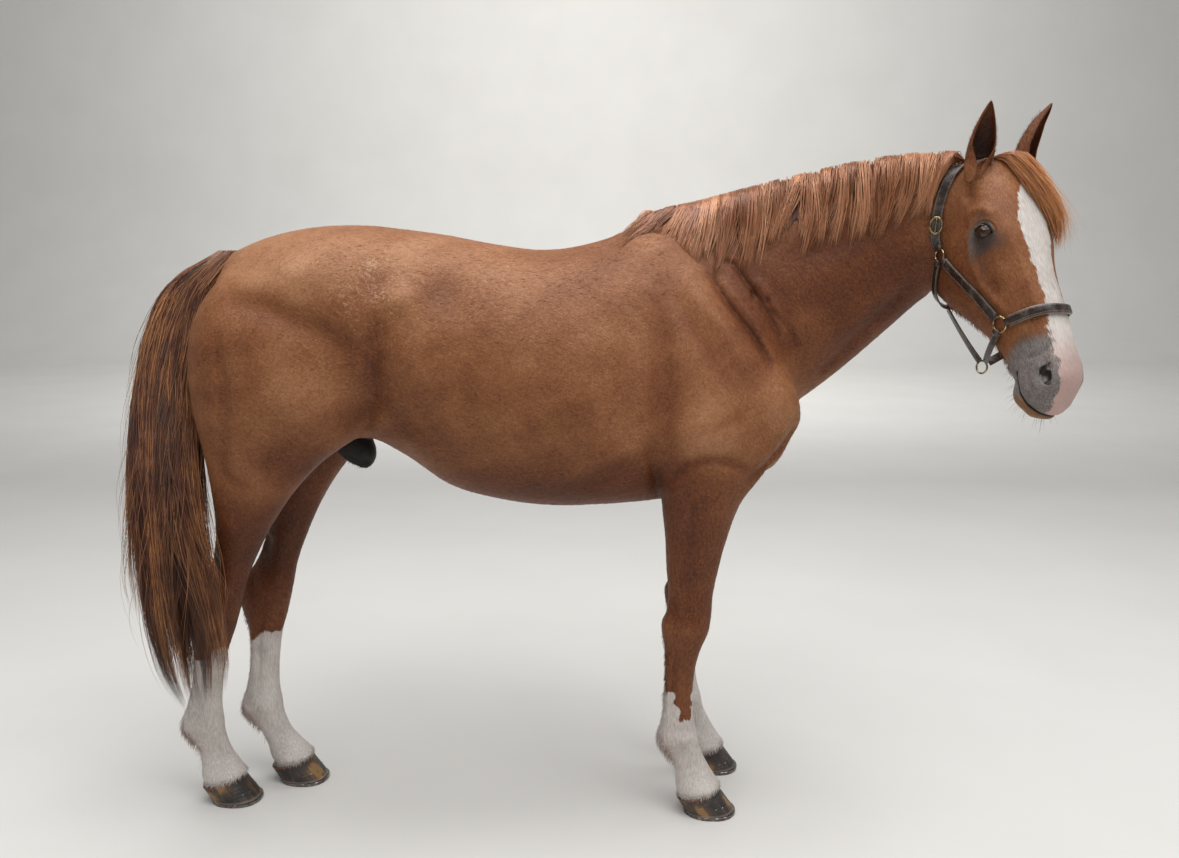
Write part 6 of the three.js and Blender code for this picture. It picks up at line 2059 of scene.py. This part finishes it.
@dataclass
class Headcollar:
    """The leather headcollar: stitched straps with a padded noseband, joined by brass rings, and a buckle."""

    flesh: Flesh
    width: float = 24.0
    thickness: float = 4.0
    stitches: list[tuple[Array, Array]] = field(default_factory=list)

    def spot(self, *place: float) -> Array:
        """One place given on the head's axes."""
        return self.flesh.head.world(np.array([place], float))[0]

    def on_hide(
        self, places: Sequence[Sequence[float]], hand: int, count: int, rise: float
    ) -> tuple[Array, Array]:
        """A smooth path on the hide near places on the head's axes, and the outward directions along it."""
        flipped = np.array(places, float) * [1, hand, 1]
        points = self.flesh.laid(self.flesh.head.world(through(flipped, min(count, 15))), rise - 2)
        if count > 15:
            points = through(points, count)
        for _ in range(2):
            away, slope = self.flesh.slope(points, 4.0)
            points = points + unit(slope) * np.maximum(rise - away, 0)[:, None]
            for _ in range(4 if count > 15 else 0):
                points[1:-1] = (points[:-2] + 2 * points[1:-1] + points[2:]) / 4
        normals = unit(self.flesh.slope(points, 6.0)[1])
        for _ in range(6 if count > 15 else 0):
            normals[1:-1] = unit(normals[:-2] + 2 * normals[1:-1] + normals[2:])
        return points, normals

    def strap(self, points: Array, normals: Array, width: float, thickness: float, stitched: bool = True) -> Shape:
        """A strap carried along a path: a rounded rectangle whose outer face is slightly domed."""
        along = unit(np.gradient(points, axis=0))
        across = unit(np.cross(along, normals))
        up = unit(np.cross(across, along))
        w, t, r = width / 2, thickness / 2, min(thickness * 0.3, 1.4)
        half = [(w - r, -t), (w - 0.3 * r, -t + 0.3 * r), (w, -t + r), (w, t - r), (w - 0.3 * r, t - 0.3 * r), (w - r, t)]
        half += [(w * 0.5, t + 0.35)]
        section = np.array([(-w + r, -t), *half, (0, t + 0.5), *((-x, y) for x, y in half[:0:-1])])
        rings = points[:, None] + section[None, :, :1] * across[:, None] + section[None, :, 1:] * up[:, None]
        shape = outwards(tube(rings))
        edge = np.tile(np.abs(section[:, 0]) / w, len(points)) ** 6
        shape.marks = {"edge": np.concatenate([edge, [0.5, 0.5]])}
        if stitched:
            run = np.concatenate([[0], np.cumsum(np.linalg.norm(np.diff(points, axis=0), axis=1))])
            at = np.arange(4, run[-1] - 4, 5.2)
            line = lambda values: np.stack([np.interp(at, run, column) for column in values.T], axis=1)
            for side in (-1, 1):
                where = line(points) + side * (w - 2.6) * unit(line(across)) + (t + 0.12) * unit(line(up))
                frame_ = np.stack([unit(line(along)), unit(line(across)), unit(line(up))], axis=1)
                self.stitches.append((where, frame_))
        return shape

    def ring(self, at: Array, facing: Array, radius: float, wire: float, long: float = 1.0) -> Shape:
        """A ring: a circle of round wire, or an oval one, that faces along a direction."""
        facing = unit(facing)
        side = unit(np.cross(facing, self.flesh.head.axes[0]))
        other = np.cross(facing, side)
        t, p = circle(44)[:, None], circle(12)[None, :]
        way = np.cos(t)[..., None] * side + np.sin(t)[..., None] * other * long
        grid = at + radius * way + wire * (np.cos(p)[..., None] * unit(way) + np.sin(p)[..., None] * facing)
        return outwards(sheet(grid, True, True))

    def loop(self, at: Array, towards: Array, facing: Array, width: float) -> Shape:
        """A strap's end folded round a ring's wire: a flat teardrop carried across the strap's width."""
        along = unit(towards)
        across = unit(np.cross(along, facing))
        up = np.cross(across, along)
        t = circle(20)
        x = 9 * np.cos(t) + 5
        z = 4.6 * np.sin(t) * np.where(np.cos(t) < 0, 1, 0.9)
        ends = np.array([-0.5, -0.47, 0.47, 0.5])
        shrink = np.array([0.86, 1, 1, 0.86])
        outline = x[None, :, None] * along + z[None, :, None] * up
        shape = outwards(tube(at + (ends[:, None, None] * width * across + shrink[:, None, None] * outline)))
        shape.marks = {"edge": np.full(len(shape.points), 0.35)}
        return shape

    def build(self, leather: Material, pad: Material, brass: Material, thread: Material) -> None:
        """Makes every strap, ring and stitch."""
        head, rise = self.flesh.head, 5.6
        nose = [(415, 66, -92), (418, 55, -30), (424, 28, 4), (426, 0, 8)]
        round_nose = nose + [(s, -l, n) for s, l, n in nose[-2::-1]]
        points, normals = self.on_hide(round_nose, 1, 90, rise)
        put("noseband", self.strap(points + 2.6 * normals, normals, 21, 4.0), leather, "leather", "halter_noseband")
        put("noseband_pad", self.strap(points - 0.6 * normals, normals, 26, 5.0, False), pad, "leather")
        throat = [(200, 100, -222), (250, 90, -276), (286, 44, -308), (294, 0, -314)]
        points, normals = self.on_hide(throat + [(s, -l, n) for s, l, n in throat[-2::-1]], 1, 90, rise)
        throat_low = points[45] + 4 * normals[45]
        put("throat_strap", self.strap(points, normals, self.width - 4, self.thickness), leather, "leather", "halter_throat")
        for hand, word in ((1, "right"), (-1, "left")):
            cheek = [(207, 102, -196), (305, 88, -156), (390, 66, -126)]
            points, normals = self.on_hide(cheek, hand, 50, rise)
            strap = self.strap(points, normals, self.width, self.thickness + 1)
            put(f"cheek_strap_{word}", strap, leather, "leather", f"halter_cheek_{word}")
            crown = [(168, 104, -204), (112, 104, -184), (58, 100, -146), (14, 84, -100), (-8, 50, -64), (-14, 4, -48)]
            points, normals = self.on_hide(crown, hand, 80, rise)
            strap = self.strap(points, normals, self.width, self.thickness)
            put(f"crown_strap_{word}", strap, leather, "leather", f"halter_crown_{word}")
            start, _ = self.on_hide([(426, 62, -134), (430, 62, -136)], hand, 2, rise)
            bend = head.world(np.array([[452, 42.0 * hand, -190], [464, 6.0 * hand, -232]]))
            path, _ = arc(start[0], *bend, 24)
            face = np.tile(unit(np.array([0, hand, -0.4]) @ head.axes), (24, 1))
            strap = self.strap(path, face, 21, self.thickness)
            put(f"chin_strap_{word}", strap, leather, "leather", f"halter_chin_{word}")
            loops: list[Shape] = []
            for kind, place, radius, ends in (
                ("cheek", (411, 62, -118), 19.0, ((390, 66, -126), (416, 62, -80), (434, 58, -150))),
                ("upper", (186, 100, -204), 16.0, ((207, 102, -196), (160, 104, -202), (204, 96, -232))),
            ):
                at, out = self.on_hide([place, (place[0] + 1, *place[1:])], hand, 2, rise + 0.8)
                ring = self.ring(at[0], out[0], radius, 2.7)
                put(f"brass_ring_{kind}_{word}", ring, brass, "brass", f"ring_{kind}_{word}")
                for end in ends:
                    way = self.spot(end[0], end[1] * hand, end[2]) - at[0]
                    way = unit(way - way @ out[0] * out[0])
                    loops.append(self.loop(at[0] + way * radius, way, out[0], 17))
            joined = loops[0]
            for other in loops[1:]:
                joined = joined + other
            put(f"strap_loops_{word}", joined, leather, "leather")
        path, t = arc(throat_low, *head.world(np.array([[384.0, 10, -270], [456, 4, -248]])), 26)
        facing = unit(np.outer(1 - 0.3 * t, head.axes[1]) - np.outer(0.9 - 0.6 * t, head.axes[2]))
        put("jaw_link", self.strap(path, facing, 22, self.thickness), leather, "leather", "halter_link")
        put("brass_ring_chin", self.ring(self.spot(470, 0, -250), head.axes[1], 16, 2.6), brass, "brass", "ring_chin")
        at, out = self.on_hide([(108, 104, -182), (107, 104, -181)], 1, 2, 11.0)
        ahead = self.spot(70, 102, -156) - at[0]
        ahead = unit(ahead - ahead @ out[0] * out[0])
        side = np.cross(ahead, out[0])
        t, p = circle(48)[:, None], circle(12)[None, :]
        way = np.cos(t)[..., None] * side * 14.5 + np.sin(t)[..., None] * ahead * 20.5
        grid = at[0] + way + 2.4 * np.cos(p)[..., None] * unit(way) + 2.0 * np.sin(p)[..., None] * out[0]
        frame_ = outwards(sheet(grid, True, True))
        bar = np.linspace(-19, 17, 12)[:, None]
        q = circle(10)[None, :, None]
        tongue = at[0] + bar[:, None] * ahead + (1.2 + 0 * bar[:, None]) * out[0]
        tongue = tongue + 1.6 * (np.cos(q) * side + np.sin(q) * out[0])
        put("crown_buckle", frame_ + outwards(tube(tongue)), brass, "brass", "buckle_crown")
        where, frames = (np.vstack(each) for each in zip(*self.stitches))
        section, along = ((0.55, -0.6), (0, 1.0), (-0.55, -0.6)), ((-1.7, 0.4), (-1.2, 1), (1.2, 1), (1.7, 0.4))
        rows = np.array([[[x, y * s, 0.55 * k * s + 0.05] for y, k in section] for x, s in along])
        put("stitching", outwards(many(tube(rows), frames, where)), thread, "leather")


@dataclass
class Studio:
    """A plain pale floor that sweeps up into a wall far behind, soft light from above, and the camera."""

    def build(self) -> None:
        """Makes the floor, the lights and the camera."""
        scene = bpy.context.scene
        x = np.linspace(-40, 40, 3)[:, None]
        turn = np.linspace(0, np.pi / 2, 12)
        y = np.concatenate([[-40, 0, 10], 12 + 3 * np.sin(turn), [15.0]])[None, :]
        z = np.concatenate([[0, 0, 0], 3 - 3 * np.cos(turn), [20.0]])[None, :]
        grid = np.stack(np.broadcast_arrays(x, y, z), axis=-1) * 1000 - ORIGIN
        shape = sheet(grid)
        mesh = bpy.data.meshes.new("studio_floor")
        mesh.from_pydata(((shape.points + ORIGIN) / 1000).tolist(), [], shape.faces.tolist())
        mesh.polygons.foreach_set("use_smooth", [True] * len(mesh.polygons))
        mesh.materials.append(PaleFloor("matt paint", 0.85).build())
        floor = bpy.data.objects.new("studio_floor", mesh)
        scene.collection.objects.link(floor)
        world = bpy.data.worlds.new("studio")
        world.use_nodes = True
        scene.world = world
        background = world.node_tree.nodes["Background"]
        background.inputs[0].default_value = linear("#e8edf2")
        background.inputs[1].default_value = 0.42
        for name, size, power, place, turn in (
            ("overhead", 6.0, 430.0, (0.2, -0.9, 5.4), (8, 2, 0)),
            ("backdrop", 7.0, 620.0, (0.0, 7.5, 6.5), (64, 0, 0)),
            ("front", 4.0, 36.0, (4.5, -5.0, 3.0), (62, 0, 42)),
        ):
            light = bpy.data.lights.new(name, "AREA")
            light.size, light.energy = size, power
            lamp = bpy.data.objects.new(name, light)
            lamp.location, lamp.rotation_euler = place, np.radians(turn)
            scene.collection.objects.link(lamp)
        camera = bpy.data.cameras.new("camera")
        camera.lens, camera.sensor_width = 33.59, 36.0
        seen = bpy.data.objects.new("camera", camera)
        seen.location, seen.rotation_euler = (0.029, -2.930, 1.547), (np.radians(90 - 9.24), 0, 0)
        scene.collection.objects.link(seen)
        scene.camera = seen
        scene.view_settings.view_transform = "Standard"


def main() -> None:
    """Builds the studio, then the horse, then its headcollar."""
    logging.basicConfig(level=logging.INFO, format="%(relativeCreated)d ms %(message)s")
    Studio().build()
    flesh = Flesh()
    ears = (
        Ear("ear_right", 1, (-100, 95, 60), (0, 0.55, 0.83), flesh),
        Ear("ear_left", -1, (-114, -112, 86), (0, -0.28, 0.96), flesh),
    )
    marks = Markings(flesh, ears)
    skin = Skin(flesh, ears, marks)
    skin.build(HorseCoat("short horse coat", 0.55).build())
    tuft = HorseCoat("coat tufts", 0.6, strength=0.1).build()
    bristle = LongHair("whisker hair", 0.5, "#1c1614", "#3a2e28", "#8a7c70").build()
    CoatTufts(skin).build(tuft)
    Fringe(skin).build(tuft, bristle)
    Eyes(flesh).build(EyeBall("wet eye", 0.12).build(), bristle)
    # the under layers' dark colours are painted shade under and between the locks
    under = LongHair("under hair in painted shade", 0.7, "#32180c", "#5c3219", "#7d4e30").build()
    mane = LongHair("mane hair", 0.45, "#3c1c0e", "#8d522c", "#bd8560", 0.3).build()
    Mane(flesh).build(mane, under)
    Forelock(flesh).build(LongHair("forelock hair", 0.45, "#2c1208", "#84441f", "#cc8a54", 0.28).build(), under)
    tail = LongHair("tail hair", 0.45, "#170805", "#4f2413", "#b27848", 0.1).build()
    # the tail core's dark colours are painted shade inside the tail
    Tail(flesh).build(tail, LongHair("tail core in painted shade", 0.7, "#180c08", "#3a1e12", "#5c3420").build())
    horn, steel = HoofHorn("hoof horn", 0.5).build(), ForgedSteel("forged shoe steel", 0.5).build()
    for leg, tan in zip(LEGS, (
        ((0.54, 0.35, 0.03, 0.5), (0.30, 0.4, 0.03, 0.4)), ((0.54, 0.4, 0.04, 0.45),),
        ((0.62, 0.4, 0.05, 0.6), (0.5, 0.9, 0.05, 0.4)), ((0.33, 0.45, 0.06, 0.6),),
    )):
        Hoof(leg, tan).build(horn, steel)
    leather = BridleLeather("bridle leather", 0.5).build()
    pad = BridleLeather("padded lining leather", 0.7, "#5a4c44", "#8c7c70").build()
    brass, thread = SolidBrass("solid brass", 0.4).build(), LinenThread("linen thread", 0.8).build()
    Headcollar(flesh).build(leather, pad, brass, thread)


if __name__ == "__main__":
    main()
